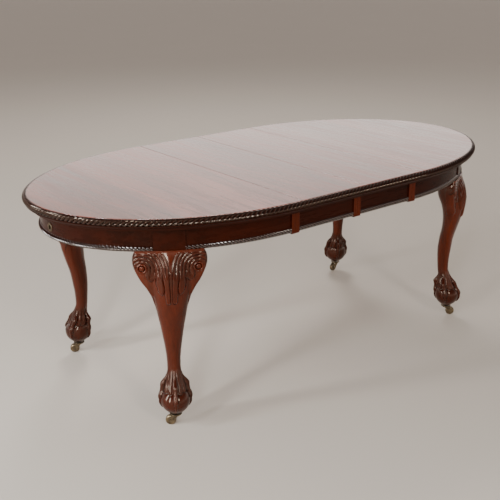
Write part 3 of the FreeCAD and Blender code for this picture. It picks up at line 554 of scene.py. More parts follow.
def open_rims(bm):
    """The mesh's open rims, each as the list of its edges."""
    left = {edge for edge in bm.edges if edge.is_boundary}
    rims = []
    while left:
        rim, found = [], [min(left, key=lambda edge: edge.index)]
        left.discard(found[0])
        while found:
            edge = found.pop()
            rim.append(edge)
            for vertex in edge.verts:
                for other in vertex.link_edges:
                    if other in left:
                        left.discard(other)
                        found.append(other)
        rims.append(rim)
    return rims


def close_shell(bm):
    """Merge touching rims, drop slivers, close open ends and point the faces outwards."""
    bmesh.ops.remove_doubles(bm, verts=bm.verts, dist=MERGE)
    bmesh.ops.dissolve_degenerate(bm, edges=bm.edges, dist=MERGE)
    for rim in open_rims(bm):
        bmesh.ops.holes_fill(bm, edges=rim, sides=0)
    bmesh.ops.recalc_face_normals(bm, faces=bm.faces)
    if bm.calc_volume(signed=True) < 0:
        bmesh.ops.reverse_faces(bm, faces=bm.faces)


def bent_grid(columns, rows, shape, length=1.0, girth=1.0):
    """A grid bent by shape(u, v) -> (place, painted shade and darkening); its UV map is laid out in
    metres.
    """
    bm = bmesh.new()
    hollow = bm.verts.layers.float.new("hollow")
    uv = bm.loops.layers.uv.new("grain")
    bmesh.ops.create_grid(bm, x_segments=columns, y_segments=rows, size=0.5)
    for face in bm.faces:
        for loop in face.loops:
            loop[uv].uv = ((loop.vert.co.x + 0.5) * length, (loop.vert.co.y + 0.5) * girth)
    for vertex in bm.verts:
        vertex.co, vertex[hollow] = shape(vertex.co.x + 0.5, vertex.co.y + 0.5)
    close_shell(bm)
    return bm


def join_shells(first, second):
    """Add the second bmesh's shells to the first."""
    mesh = bpy.data.meshes.new("shell")
    second.to_mesh(mesh)
    second.free()
    first.from_mesh(mesh)
    bpy.data.meshes.remove(mesh)


def refined(node, name, finish, body, slot, softening=None):
    """A merged copy of a CAD node with softened corners, standing for it."""
    bm = bmesh.new()
    bm.from_mesh(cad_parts[node].data)
    bmesh.ops.remove_doubles(bm, verts=bm.verts, dist=MERGE)
    bmesh.ops.dissolve_limit(bm, angle_limit=FLAT_ANGLE, verts=bm.verts, edges=bm.edges,
                             delimit={"NORMAL"})
    item = new_object(name, bm, finish)
    soften(item, sizes().softening if softening is None else softening)
    return mount(item, body, slot, node)


def lerp(low, high, share):
    """A value part of the way from low to high."""
    return low + (high - low) * share


def ease(value):
    """A smooth step from 0 to 1."""
    value = min(1.0, max(0.0, value))
    return value * value * (3 - 2 * value)


def along(table, key, column):
    """A smooth curve through a table's rows, read at a value of the first column."""
    rows = table if table[0][0] < table[-1][0] else table[::-1]
    key = min(max(key, rows[0][0]), rows[-1][0])
    i = max(k for k in range(len(rows) - 1) if rows[k][0] <= key)
    x0, x1 = rows[i][0], rows[i + 1][0]
    y0, y1 = rows[i][column], rows[i + 1][column]
    before = rows[max(i - 1, 0)]
    after = rows[min(i + 2, len(rows) - 1)]
    slope0 = (y1 - before[column]) / (x1 - before[0])
    slope1 = (after[column] - y0) / (after[0] - x0)
    s = (key - x0) / (x1 - x0)
    rise0 = slope0 * (x1 - x0)
    rise1 = slope1 * (x1 - x0)
    return ((2 * s ** 3 - 3 * s ** 2 + 1) * y0 + (s ** 3 - 2 * s ** 2 + s) * rise0
            + (3 * s ** 2 - 2 * s ** 3) * y1 + (s ** 3 - s ** 2) * rise1)


# ---------------------------------------------------------------- paths round the top

class EndPath:
    """The half-oval outline of one end, from join to join."""

    STEPS = 1440

    def __init__(self, side):
        self.side = side
        self.angles = [math.pi * (i / self.STEPS - 0.5) for i in range(self.STEPS + 1)]
        self.reach = [0.0]
        for low, high in zip(self.angles, self.angles[1:]):
            middle = (low + high) / 2
            speed = math.hypot(OVAL_LENGTH * math.sin(middle), HALF_WIDTH * math.cos(middle))
            self.reach.append(self.reach[-1] + speed * (high - low))
        self.length = self.reach[-1]

    def angle(self, distance):
        """The oval's angle at a distance from the first join."""
        share = distance / self.length * self.STEPS
        low, high = 0, self.STEPS
        while high - low > 1:
            middle = (low + high) // 2
            if self.reach[middle] <= distance:
                low = middle
            else:
                high = middle
        part = (distance - self.reach[low]) / (self.reach[high] - self.reach[low]) if share else 0.0
        return lerp(self.angles[low], self.angles[high], min(1.0, max(0.0, part)))

    def point(self, distance, inset, z):
        """A point on the outline drawn in by an inset; the rim at the join is kept flat."""
        angle = self.angle(distance)
        x = OVAL_X + (OVAL_LENGTH - inset) * math.cos(angle)
        y = (HALF_WIDTH - inset) * math.sin(angle)
        return Vector((self.side * max(x, JOIN_X), self.side * y, z))


class LeafPath:
    """The straight edge of a leaf, front (way -1) or back (way 1)."""

    def __init__(self, side, way):
        low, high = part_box(f"leaf_board_{'left' if side < 0 else 'right'}")
        self.way = way
        self.start = low.x if way < 0 else high.x
        self.length = high.x - low.x

    def point(self, distance, inset, z):
        """A point on the edge drawn in by an inset."""
        return Vector((self.start - self.way * distance, self.way * (HALF_WIDTH - inset), z))


def girth_of(profile):
    """Length once round a closed profile."""
    return sum(math.dist(profile[i - 1], profile[i]) for i in range(len(profile)))


def carved_run(path, start, end, profile, envelope, lean, pitch, depth, painted_shade_line=False):
    """A moulding along a path whose closed (inset, z) profile is grooved by leaning lobes."""
    length = end - start
    lobes = max(1, round(length / pitch))
    step = length / lobes
    margin = math.ceil(abs(lean) / step)
    rows = len(profile)
    seen = sum(1 for share in envelope if share > 0) + 1
    reach = [0.0]
    for i in range(1, rows):
        reach.append(reach[-1] + (math.dist(profile[i - 1], profile[i]) if i < seen else 0.0))
    shifts = [lean * (0.5 - part / reach[-1]) for part in reach]

    def shape(u, v):
        row = round(v * rows) % rows
        inset, z = profile[row]
        shift = shifts[row]
        along_path = (u * (lobes + 2 * margin) - margin) * step + shift
        along_path = min(length, max(0.0, along_path))
        phase = ((along_path - shift) / step) % 1.0
        groove = abs(2 * phase - 1) ** 1.5
        cut = depth * envelope[row] * groove
        before, after = profile[row - 1], profile[(row + 1) % rows]
        inward, upward = before[1] - after[1], after[0] - before[0]
        norm = math.hypot(inward, upward) or 1.0
        inset += cut * inward / norm
        z += cut * upward / norm
        # Painted shade: darker in the grooves between lobes or strands, and a full dark line in the
        # crease along the top row when asked.
        hollow = 1.0 if row == 0 and painted_shade_line else min(1.0, 1.5 * envelope[row] * groove ** 1.5)
        return path.point(start + along_path, inset, z), hollow

    columns = LOBE_COLUMNS * (lobes + 2 * margin)
    return bent_grid(columns, rows, shape, length, girth_of(profile))


def plain_run(path, start, end, profile, columns):
    """A moulding along a path with a closed (inset, z) profile."""
    rows = len(profile)
    length = end - start

    def shape(u, v):
        inset, z = profile[round(v * rows) % rows]
        return path.point(start + u * length, inset, z), 0.0

    return bent_grid(columns, rows, shape, length, girth_of(profile))


# ---------------------------------------------------------------- top and its edge

def roll_profile():
    """The rolled edge's closed profile and the carving's share of its depth along it."""
    drop = TOP_Z - BOARD_Z
    profile = [(inward * ROLL_INSET, TOP_Z - down * drop) for inward, down, _ in ROLL]
    envelope = [carving for _, _, carving in ROLL]
    return profile + [(ROLL_INSET, BOARD_Z)], envelope + [0.0]


def add_edge(path, name, body, node):
    """The carved edge along one path."""
    s = sizes()
    bm = carved_run(path, 0.0, path.length, *roll_profile(), s.lobe_lean, s.lobe_pitch,
                    s.lobe_depth, painted_shade_line=True)
    mount(new_object(name, bm, "carved"), body, "carved_mahogany", node)


def add_end_board(name, side):
    """The flat half-oval inside the carved edge."""
    bm = bmesh.new()
    bmesh.ops.create_circle(bm, cap_ends=True, segments=360, radius=1.0)
    size = Vector((OVAL_LENGTH - ROLL_INSET, HALF_WIDTH - ROLL_INSET, 1.0))
    bmesh.ops.scale(bm, verts=bm.verts, vec=size)
    bmesh.ops.translate(bm, verts=bm.verts, vec=(side * OVAL_X, 0, BOARD_Z))
    bmesh.ops.bisect_plane(bm, geom=bm.verts[:] + bm.edges[:] + bm.faces[:],
                           plane_co=(side * JOIN_X, 0, 0), plane_no=(-side, 0, 0), clear_outer=True)
    raised = bmesh.ops.extrude_face_region(bm, geom=bm.faces[:])["geom"]
    lifted = [item for item in raised if isinstance(item, bmesh.types.BMVert)]
    bmesh.ops.translate(bm, verts=lifted, vec=(0, 0, TOP_Z - BOARD_Z))
    bmesh.ops.recalc_face_normals(bm, faces=bm.faces)
    item = soften(new_object(f"oval_board_{name}", bm, f"polished_{name}"), BOARD_ARRIS)
    mount(item, f"{name}_end", "polished_top", f"top_{name}")


def add_leaf_board(name):
    """The flat of a loose leaf inside its carved edges."""
    low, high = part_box(f"leaf_board_{name}")
    bm = bmesh.new()
    bmesh.ops.create_cube(bm, size=1.0)
    size = (high.x - low.x, high.y - low.y - 2 * ROLL_INSET, high.z - low.z)
    bmesh.ops.scale(bm, verts=bm.verts, vec=size)
    bmesh.ops.translate(bm, verts=bm.verts, vec=(low + high) / 2)
    item = soften(new_object(f"leaf_flat_{name}", bm, f"polished_leaf_{name}"), BOARD_ARRIS)
    mount(item, f"leaf_{name}", "polished_top", f"leaf_board_{name}")


def cove_profile():
    """A small square above a hollow, then the hidden underside and back."""
    square, gap = 6 * MM, 0.3 * MM
    height = BOARD_Z - COVE_Z
    profile = [(square, BOARD_Z - gap), (square, BOARD_Z - 4 * MM)]
    steps = 8
    for i in range(steps + 1):
        turn = math.pi / 2 * i / steps
        inset = lerp(8.7 * MM, 24 * MM, math.sin(turn))
        profile.append((inset, COVE_Z + 0.76 * height * math.cos(turn)))
    return profile + [(APRON_BACK, COVE_Z), (APRON_BACK, BOARD_Z - gap)]


def add_cove(path, name, body, node, columns):
    """The hollow moulding under a board's edge."""
    bm = plain_run(path, 0.0, path.length, cove_profile(), columns)
    mount(new_object(name, bm, "cove"), body, "carved_mahogany", node)


# ---------------------------------------------------------------- rope moulding

def rope_profile():
    """A half-round bead on the apron's face, and the carving's share of its depth along it."""
    profile = []
    envelope = []
    steps = 8
    for i in range(steps + 1):
        turn = math.pi * i / steps
        profile.append((APRON_INSET - ROPE_PROUD * math.sin(turn),
                        APRON_Z + ROPE_HEIGHT * (0.5 + 0.5 * math.cos(turn))))
        envelope.append(math.sin(turn) ** 0.5)
    return profile, envelope


def add_rope(path, start, end, name, body, node):
    """Twisted rope moulding along part of a path."""
    s = sizes()
    bm = carved_run(path, start, end, *rope_profile(), -s.strand_lean, s.strand_pitch,
                    s.strand_depth)
    mount(new_object(name, bm, "rope"), body, "carved_mahogany", node)


def leg_frame(way, side):
    """A leg's foot centre and its forward direction, which points out over the knee."""
    centre = SWIVEL[f"{way}_{side}"]
    forward = Vector((SIDES[side] * math.cos(LEG_TURN), WAYS[way] * math.sin(LEG_TURN), 0))
    return Vector((centre.x, centre.y, 0)), forward


def distance_beside(path, centre, forward, across, near):
    """Where a path passes a leg at a given distance across it, near a first guess."""
    sideways = Vector((-forward.y, forward.x, 0))
    low, high = near - 0.25, near + 0.25
    for _ in range(40):
        middle = (low + high) / 2
        offset = (path.point(middle, APRON_INSET, 0) - centre).dot(sideways)
        if offset < across:
            low = middle
        else:
            high = middle
    return (low + high) / 2


def rope_runs(path, side):
    """The three stretches of an end's rope moulding, between blocks and leg posts."""
    blocks = BLOCK_WIDTH + BLOCK_GAP
    stops = [blocks]
    for way in (("front", "back") if side == "right" else ("back", "front")):
        centre, forward = leg_frame(way, side)
        guess = min(range(0, int(path.length * 1000), 10),
                    key=lambda d: (path.point(d * MM, APRON_INSET, 0) - centre).length) * MM
        stops.append(distance_beside(path, centre, forward, -POST_HALF, guess))
        stops.append(distance_beside(path, centre, forward, POST_HALF, guess))
    stops.append(path.length - blocks)
    return [(stops[i], stops[i + 1]) for i in (0, 2, 4)]


# ---------------------------------------------------------------- carved legs

def ridge(phase, power=2.2):
    """A rounded ridge with sharp grooves either side, 0 to 1."""
    return 1 - abs(2 * (phase % 1.0) - 1) ** power


def scroll_eye(radius):
    """The button and ring at the middle of a scroll: height in millimetres, and painted shade, full
    in the groove round the button.
    """
    if radius < BUTTON:
        return BUTTON_HEIGHT * math.sqrt(1 - (radius / BUTTON) ** 2), 0.0
    if radius < BUTTON_GROOVE:
        return -GROOVE_DEPTH, 1.0
    return RING_HEIGHT * ridge((radius - BUTTON_GROOVE) / (RING - BUTTON_GROOVE)), 0.0


def leaf_line(across, down):
    """The leaf's line through a point; lines circle the eye, then sweep down to the middle."""
    if down <= EYE_DOWN:
        return math.hypot(across - EYE_ACROSS, down - EYE_DOWN)
    narrowing = lerp(1.0, 0.5, ease((down - EYE_DOWN) / (LEAF_TIP - EYE_DOWN)))
    line = EYE_ACROSS - across / narrowing
    share = min(1.0, max(0.0, (line - RING) / (LEAF_END - RING)))
    near_tip = ease((down - lerp(LOBE_TIPS[0] - 16, LOBE_TIPS[-1], share) + 38) / 38)
    return line + 9.0 * near_tip * (1 - share) / narrowing


def knee_relief(across, down):
    """Carving on the front of a knee, in millimetres, as (height, painted shade and darkening)."""
    across = abs(across)
    start = ease((down - 3) / 4)
    from_eye = math.hypot(across - EYE_ACROSS, down - EYE_DOWN)
    if from_eye < RING:
        height, hollow = scroll_eye(from_eye)
        return height * start, hollow * start
    if down > EYE_DOWN and across >= EYE_ACROSS - RING * 0.6:
        shadow = 0.7 * ease(1 - (from_eye - RING) / 2)
        return 0.0, shadow
    line = leaf_line(across, down)
    # Painted shade along the leaf's innermost line.
    if line < RING:
        return 0.0, 0.5 * ease(1 - (RING - line) / 3)
    # Painted shade along the leaf's outer line, above the eye.
    if line > LEAF_END and down < EYE_DOWN:
        return 0.0, 0.8 * ease(1 - (line - LEAF_END) / 2.5) * start
    share = min(1.0, (line - RING) / (LEAF_END - RING))
    last = len(LOBE_TIPS) - 1
    lobe = min(last, int(share * len(LOBE_TIPS)))
    in_lobe = share * len(LOBE_TIPS) - lobe
    tip = LOBE_TIPS[lobe] - 13 * (2 * in_lobe - 1) ** 2 * (1.0 if lobe < last else 0.3)
    # Painted shade just below each lobe's tip.
    if down > tip:
        return 0.0, 0.8 * ease(1 - (down - tip) / 3)
    finish = math.sqrt(min(1.0, (tip - down) / 7))
    lift = ridge(share * LEAF_RIDGES) if line < LEAF_END else 0.8
    relief = sizes().leaf_relief / MM
    swell = ease((down - EYE_DOWN + 5) / 45)
    rounding = (1 - (2 * in_lobe - 1) ** 4) * swell
    vein = 0.2 * math.cos(math.pi * 2 * LEAF_RIDGES * 3 * share) * (1 - swell)
    ribs = LEAF_GROUND + relief * (lift - 0.55) * lerp(1.0, 0.32, swell)
    height = ribs + LOBE_ROUNDING * rounding + vein
    # Painted shade in the grooves between the ridges and at the lobes' edges; the carving is also
    # made darker towards the apron.
    groove = (1 - lift) ** 1.3 * (1 - 0.7 * swell) if line < LEAF_END else 0.0
    deep = 0.9 * abs(2 * in_lobe - 1) ** 8 * swell if line < LEAF_END else 0.0
    darker_near_apron = 0.42 * (1 - ease((down - EYE_DOWN) / 110))
    if line >= LEAF_END:
        start *= ease((down - EYE_DOWN) / 14)
    return height * start * finish, max(groove, deep, darker_near_apron) * start * finish


def smooth_max(first, second, reach):
    """The larger of two values, rounded where they meet."""
    gap = max(0.0, reach - abs(first - second)) / reach
    return max(first, second) + gap * gap * reach / 4


def foot_radius(angle, height, ball, base):
    """Radius of the ball and claws round the leg's axis, in millimetres, and painted shade with the
    foot's darkening.
    """
    inside = ball * ball - (height - (ball + BALL_LIFT)) ** 2
    round_ball = math.sqrt(inside) if inside > 0 else 0.0
    nearest = abs((angle + math.pi / 4) % (math.pi / 2) - math.pi / 4)
    rim = SKIN_RIM + SKIN_SAG * ease(nearest / (math.pi / 4))
    skin = base * ease((height - rim + 8) / 9)
    fold = base * math.sin(nearest - FOLD_ANGLE) / FOLD_WIDTH
    if abs(fold) < 1 and height > rim - 6:
        skin += FOLD_HEIGHT * math.sqrt(1 - fold * fold) * ease((height - rim + 6) / 8)
    body = max(round_ball, skin)
    # The whole foot is darkened; on top of that, painted shade in the crease where the skin meets
    # the ball, and beside each claw.
    hollow = FOOT_DARKENING
    if height < 120:
        hollow = max(hollow, ease(1 - abs(round_ball - skin) / 3))
    claw_reach = along(CLAW, height, 1)
    claw_half = along(CLAW, height, 2)
    offset = claw_reach * math.sin(nearest)
    if offset >= claw_half or not CLAW[-1][0] <= height <= CLAW[0][0]:
        gap = offset - claw_half
        beside = 0 <= gap < 2.5 and CLAW[-1][0] < height < 150
        return body, max(hollow, ease(1 - gap / 2.5) if beside else 0.0)
    finger = claw_reach - claw_half + math.sqrt(claw_half ** 2 - offset ** 2)
    return smooth_max(finger, body, CLAW_BLEND), hollow if finger < body else FOOT_DARKENING


def leg_heights():
    """Row heights from the sole up, closer where there is carving, in millimetres."""
    full = (APRON_Z - SOLE_Z) / MM
    fine, coarse = 1.6, 4.0
    foot_top, knee_foot = 165, full - 200
    rows = []
    height = 0.0
    while height < full:
        rows.append(height)
        height += coarse if foot_top <= height < knee_foot else fine
    return rows + [full, full + 4]


def ear_reach(down, half_width):
    """Half width of knee and ears at a depth below the apron."""
    if down > EAR_OUTLINE[-1][0]:
        return half_width
    reach = along(EAR_OUTLINE, max(down, 0.0), 1)
    return max(half_width, lerp(reach, half_width, ease((down - 175) / 40)))


def knee_front(across, down, centre, depth, half_width, reach):
    """Forward place of the smooth knee and ear surface, in millimetres."""
    inside = max(0.0, 1 - (across / half_width) ** 2)
    knee = centre + depth * math.sqrt(inside)
    if reach <= half_width + 0.5:
        return knee
    over = max(0.0, abs(across) - (reach - EAR_RIM)) / EAR_RIM
    bowed = EAR_FRONT - across ** 2 / 1290
    ear = bowed - EAR_RIM * (1 - math.sqrt(max(0.0, 1 - over * over)))
    share = ease((reach - half_width) / EAR_BLEND)
    return lerp(knee, smooth_max(knee, ear, EAR_BLEND), share)


def knee_back(across, centre, depth, half_width, reach):
    """Backward place of the knee and ears, in millimetres."""
    inside = max(0.0, 1 - (across / half_width) ** 2)
    knee = centre - depth * math.sqrt(inside)
    if reach <= half_width + 0.5:
        return knee
    over = max(0.0, abs(across) - (reach - EAR_BACK_RIM)) / EAR_BACK_RIM
    ear = EAR_BACK + EAR_BACK_RIM * (1 - math.sqrt(max(0.0, 1 - over * over)))
    return lerp(knee, min(knee, ear), ease((reach - half_width) / EAR_BLEND))


def leg_point(u, v, heights, full):
    """A point of the leg as (forward, across, up, painted shade and darkening), in its own
    directions.
    """
    u = round(u * LEG_COLUMNS) / LEG_COLUMNS % 1.0
    height = heights[round(v * (len(heights) - 1))]
    share = min(1.0, height / full)
    centre, depth, half_width = (along(LEG_SECTIONS, share, column) for column in (1, 2, 3))
    if u <= FRONT_SHARE:
        angle = math.pi * (u / FRONT_SHARE - 0.5)
    else:
        angle = math.pi * (0.5 + (u - FRONT_SHARE) / (1 - FRONT_SHARE))
    if height < FOOT_TOP:
        base = lerp(*SKIN_RADIUS, ease((150 - height) / 60))
        radius, hollow = foot_radius(angle, height, sizes().ball_radius / MM, base)
        blend = ease((height - (FOOT_TOP - FOOT_BLEND)) / FOOT_BLEND)
        foot = min(0.0, centre * 0.9) + radius * math.cos(angle)
        forward = lerp(foot, centre + depth * math.cos(angle), blend)
        across = lerp(radius, half_width, blend) * math.sin(angle)
        return forward, across, height, hollow * (1 - blend)
    down = full - height
    reach = ear_reach(down, half_width)
    sine = math.sin(angle)
    evened = math.asin(sine) * 2 / math.pi
    knee = ease((220 - down) / 40)
    position = lerp(sine, lerp(evened, sine, 0.3), knee)
    across = reach * position
    if math.cos(angle) >= -1e-9:
        forward = knee_front(across, down, centre, depth, half_width, reach)
        lift, hollow = knee_relief(across, down) if down < LEAF_TIP + 2 else (0.0, 0.0)
        return forward + lift * ease((reach - abs(across)) / 4), across, height, hollow
    return knee_back(across, centre, depth, half_width, reach), across, height, 0.0


def leg_mesh():
    """The carved leg below its post, in its own directions, in metres."""
    full = (APRON_Z - SOLE_Z) / MM
    heights = leg_heights()

    def shape(u, v):
        forward, across, height, hollow = leg_point(u, v, heights, full)
        return Vector((forward * MM, across * MM, SOLE_Z + height * MM)), hollow

    bm = bent_grid(LEG_COLUMNS, len(heights) - 1, shape)
    mesh = bpy.data.meshes.new("carved_leg")
    bm.to_mesh(mesh)
    bm.free()
    return mesh


def post_shell(centre, forward):
    """The square top of a leg, its face curved with the oval."""
    sideways = Vector((-forward.y, forward.x, 0))
    half_long = OVAL_LENGTH - POST_INSET
    half_wide = HALF_WIDTH - POST_INSET

    def face(across):
        low, high = -0.02, 0.03
        for _ in range(30):
            middle = (low + high) / 2
            place = centre + forward * middle + sideways * across
            x = (abs(place.x) - OVAL_X) / half_long
            y = place.y / half_wide
            if x * x + y * y < 1:
                low = middle
            else:
                high = middle
        return low

    corners = ((1, APRON_Z), (1, COVE_Z), (0, COVE_Z), (0, APRON_Z))

    def shape(u, v):
        across = lerp(-POST_HALF, POST_HALF, u)
        front, z = corners[round(v * 4) % 4]
        reach = face(across) if front else -POST_BACK
        return centre + forward * reach + sideways * across + Vector((0, 0, z)), 0.0

    return bent_grid(24, 4, shape)


def add_leg(mesh, way, side):
    """One leg with its post and its knee ears."""
    centre, forward = leg_frame(way, side)
    turn = Matrix.Translation(centre) @ Matrix.Rotation(math.atan2(forward.y, forward.x), 4, "Z")
    bm = bmesh.new()
    bm.from_mesh(mesh)
    bmesh.ops.transform(bm, matrix=turn, verts=bm.verts)
    item = new_object(f"carved_leg_{way}_{side}", bm, "carved_leg")
    mount(item, f"{side}_end", "carved_mahogany", f"leg_{way}_{side}", f"knee_brackets_{side}")
    post = new_object(f"leg_post_{way}_{side}", post_shell(centre, forward), "apron")
    mount(soften(post, POST_ARRIS), f"{side}_end", "carved_mahogany", f"leg_{way}_{side}")


# ---------------------------------------------------------------- drive screw

def thread_shell(start, end, axis_z, radius):
    """A screw thread along X whose rows follow the helix."""
    s = sizes()
    length = end - start
    per_turn = 6
    turns = math.ceil(length / s.thread_lead) + 1
    rows = turns * per_turn
    depths = (0.0, 0.0, 0.5, 1.0, 1.0, 0.5)  # share of the thread's depth, round one turn

    def shape(u, v):
        row = round(v * rows)
        depth = depths[row % per_turn]
        x = ((row / per_turn - 1) + u) * s.thread_lead
        run_out = ease(min(x, length - x) / (0.5 * s.thread_lead))
        x = min(length, max(0.0, x))
        angle = 2 * math.pi * u
        r = radius - depth * s.thread_depth * run_out
        # Painted shade in the root of the thread.
        hollow = 0.6 if depth == 1.0 else 0.0
        return Vector((start + x, r * math.cos(angle), axis_z + r * math.sin(angle))), hollow

    return bent_grid(20, rows, shape)


def turned_bar(start, end, axis_z, radius, segments):
    """A short bar along X with softened corners."""
    bm = bmesh.new()
    turn = Matrix.Rotation(math.pi / 2, 4, "Y")
    place = Matrix.Translation(((start + end) / 2, 0, axis_z)) @ turn
    bmesh.ops.create_cone(bm, cap_ends=True, segments=segments, radius1=radius, radius2=radius,
                          depth=end - start, matrix=place)
    corners = [edge for edge in bm.edges if edge.calc_face_angle() > SMOOTH_ANGLE]
    bmesh.ops.bevel(bm, geom=corners, offset=METAL_ARRIS, affect="EDGES", segments=2, profile=0.5,
                    material=-1)
    return bm


def add_screw():
    """Square end, collars and threaded shaft of the drive screw."""
    low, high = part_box("drive_screw")
    bearing_low, bearing_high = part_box("screw_bearing")
    axis_z = (low.z + high.z) / 2
    gap, collar = 0.4 * MM, 7 * MM
    square_half, shaft_radius = 5 * MM, 9 * MM
    collar_radius = (high.z - low.z) / 2
    front, back = bearing_low.x - gap, bearing_high.x + gap
    screw = turned_bar(low.x, front - collar, axis_z, square_half * math.sqrt(2), 4)
    bmesh.ops.rotate(screw, verts=screw.verts, cent=(0, 0, axis_z),
                     matrix=Matrix.Rotation(math.pi / 4, 3, "X"))
    join_shells(screw, turned_bar(front - collar, front, axis_z, collar_radius, 40))
    join_shells(screw, turned_bar(front, back, axis_z, shaft_radius, 40))
    join_shells(screw, turned_bar(back, back + collar, axis_z, collar_radius, 40))
    join_shells(screw, thread_shell(back + collar, high.x, axis_z, shaft_radius))
    item = new_object("threaded_screw", screw, "steel")
    mount(item, "drive_screw", "screw_steel", "drive_screw")


# ---------------------------------------------------------------- operators

class DINING_TABLE_OT_stage(bpy.types.Operator):
    """Add the plain floor, the soft lights and the camera"""

    bl_idname = "dining_table.stage"
    bl_label = "Stage"

    def execute(self, context):
        """Build the stage."""
        bm = bmesh.new()
        bmesh.ops.create_grid(bm, x_segments=1, y_segments=1, size=FLOOR_HALF)
        new_object("floor", bm, "floor", smooth=False)
        context.scene.world = studio_world()
        for name, settings in LAMPS.items():
            add_area_light(name, *settings)
        add_camera(context)
        return {"FINISHED"}


def studio_world():
    """Soft light all round: brightest in a band above the horizon, dimmer overhead."""
    world = bpy.data.worlds.new("studio")
    world.use_nodes = True
    tree = world.node_tree
    background = tree.nodes["Background"]
    direction = add_node(tree, "TexCoord").outputs["Generated"]
    upward = add_node(tree, "SeparateXYZ", Vector=direction).outputs["Z"]
    band = add_node(tree, "ValToRGB", Fac=upward)
    ramp = band.color_ramp
    for element, (height, strength) in zip(ramp.elements, (SKY_LOW, SKY_HIGH)):
        element.position, element.color = height, (strength, strength, strength, 1.0)
    for height, strength in SKY_BETWEEN:
        ramp.elements.new(height).color = (strength, strength, strength, 1.0)
    scaled = add_node(tree, "Math", {"operation": "MULTIPLY"}, _0=band.outputs["Color"],
                      _1=SKY_STRENGTH)
    tree.links.new(scaled.outputs[0], background.inputs["Strength"])
    background.inputs["Color"].default_value = rgba(colours().daylight)
    return world


def aim(item, place, target):
    """Put an object at a place, looking at a target."""
    item.location = place
    item.rotation_euler = (Vector(target) - Vector(place)).to_track_quat("-Z", "Y").to_euler()
    bpy.context.scene.collection.objects.link(item)


def add_area_light(name, place, target, size, power, tint):
    """A soft rectangular light."""
    lamp = bpy.data.lights.new(name, "AREA")
    lamp.shape = "RECTANGLE"
    lamp.size, lamp.size_y = size
    lamp.energy = power
    lamp.color = tint
    aim(bpy.data.objects.new(name, lamp), place, target)


def add_camera(context):
    """A camera at standing eye height, off the table's front left."""
    lens = bpy.data.cameras.new("camera")
    lens.sensor_width = CAMERA_SENSOR
    lens.lens = CAMERA_LENS
    item = bpy.data.objects.new("camera", lens)
    item.location = CAMERA_PLACE
    pitch, yaw, roll = (math.radians(angle) for angle in CAMERA_ANGLES)
    turn = Matrix.Rotation(-yaw, 3, "Z") @ Matrix.Rotation(math.pi / 2 - pitch, 3, "X")
    item.rotation_euler = (turn @ Matrix.Rotation(roll, 3, "Z")).to_euler()
    context.scene.collection.objects.link(item)
    context.scene.camera = item


class DINING_TABLE_OT_boards(bpy.types.Operator):
    """Add the polished flats of both ends and both leaves"""

    bl_idname = "dining_table.boards"
    bl_label = "Boards"

    def execute(self, context):
        """Build the boards."""
        for name, side in SIDES.items():
            add_end_board(name, side)
            add_leaf_board(name)
        return {"FINISHED"}


class DINING_TABLE_OT_edges(bpy.types.Operator):
    """Add the carved edge and the hollow moulding under it, round the whole top"""

    bl_idname = "dining_table.edges"
    bl_label = "Carved Edges"

    def execute(self, context):
        """Build the edges."""
        for name, side in SIDES.items():
            path = EndPath(side)
            add_edge(path, f"gadroon_edge_{name}", f"{name}_end", f"top_{name}")
            add_cove(path, f"cove_band_{name}", f"{name}_end", f"edge_moulding_{name}", 120)
            for way_name, way in WAYS.items():
                path = LeafPath(side, way)
                add_edge(path, f"leaf_gadroon_{way_name}_{name}", f"leaf_{name}",
                         f"leaf_board_{name}")
                add_cove(path, f"leaf_cove_{way_name}_{name}", f"leaf_{name}",
                         f"leaf_edge_mouldings_{name}", 2)
        return {"FINISHED"}


def paint_light_on_blocks(rail):
    """Give the blocks beside the joins, which stand proud of a rail, a brighter, redder colour
    painted as the light their flat faces catch.
    """
    rail.data.materials.append(finish_for("block"))
    face = HALF_WIDTH - APRON_INSET + BLOCK_PROUD
    for polygon in rail.data.polygons:
        if abs(polygon.center.y) > face:
            polygon.material_index = 1


class DINING_TABLE_OT_aprons(bpy.types.Operator):
    """Add the bent and straight apron rails and their plain blocks"""

    bl_idname = "dining_table.aprons"
    bl_label = "Aprons"

    def execute(self, context):
        """Build the aprons."""
        for name in SIDES:
            end, leaf = f"{name}_end", f"leaf_{name}"
            refined(f"end_rail_{name}", f"bent_apron_{name}", "apron_end", end, "mahogany")
            for way in WAYS:
                corner = f"{way}_{name}"
                paint_light_on_blocks(refined(f"side_rail_{corner}", f"side_apron_{corner}", "apron", end,
                                      "mahogany"))
                paint_light_on_blocks(refined(f"leaf_apron_{corner}", f"leaf_rail_{corner}", "apron", leaf,
                                      "mahogany"))
        return {"FINISHED"}


class DINING_TABLE_OT_ropes(bpy.types.Operator):
    """Add the twisted rope moulding along the foot of the aprons"""

    bl_idname = "dining_table.ropes"
    bl_label = "Rope Mouldings"

    def execute(self, context):
        """Build the rope mouldings."""
        for name, side in SIDES.items():
            path = EndPath(side)
            for number, (start, end) in enumerate(rope_runs(path, name), start=1):
                add_rope(path, start, end, f"rope_bead_{number}_{name}", f"{name}_end",
                         f"rope_mouldings_{name}")
            for way_name, way in WAYS.items():
                path = LeafPath(side, way)
                add_rope(path, BLOCK_WIDTH, path.length - BLOCK_WIDTH,
                         f"leaf_rope_{way_name}_{name}", f"leaf_{name}",
                         f"leaf_rope_mouldings_{name}")
        return {"FINISHED"}


class DINING_TABLE_OT_legs(bpy.types.Operator):
    """Add the four carved cabriole legs with their knee ears and clawed feet"""

    bl_idname = "dining_table.legs"
    bl_label = "Legs"

    def execute(self, context):
        """Build the legs."""
        mesh = leg_mesh()
        for side in SIDES:
            for way in WAYS:
                add_leg(mesh, way, side)
        bpy.data.meshes.remove(mesh)
        return {"FINISHED"}


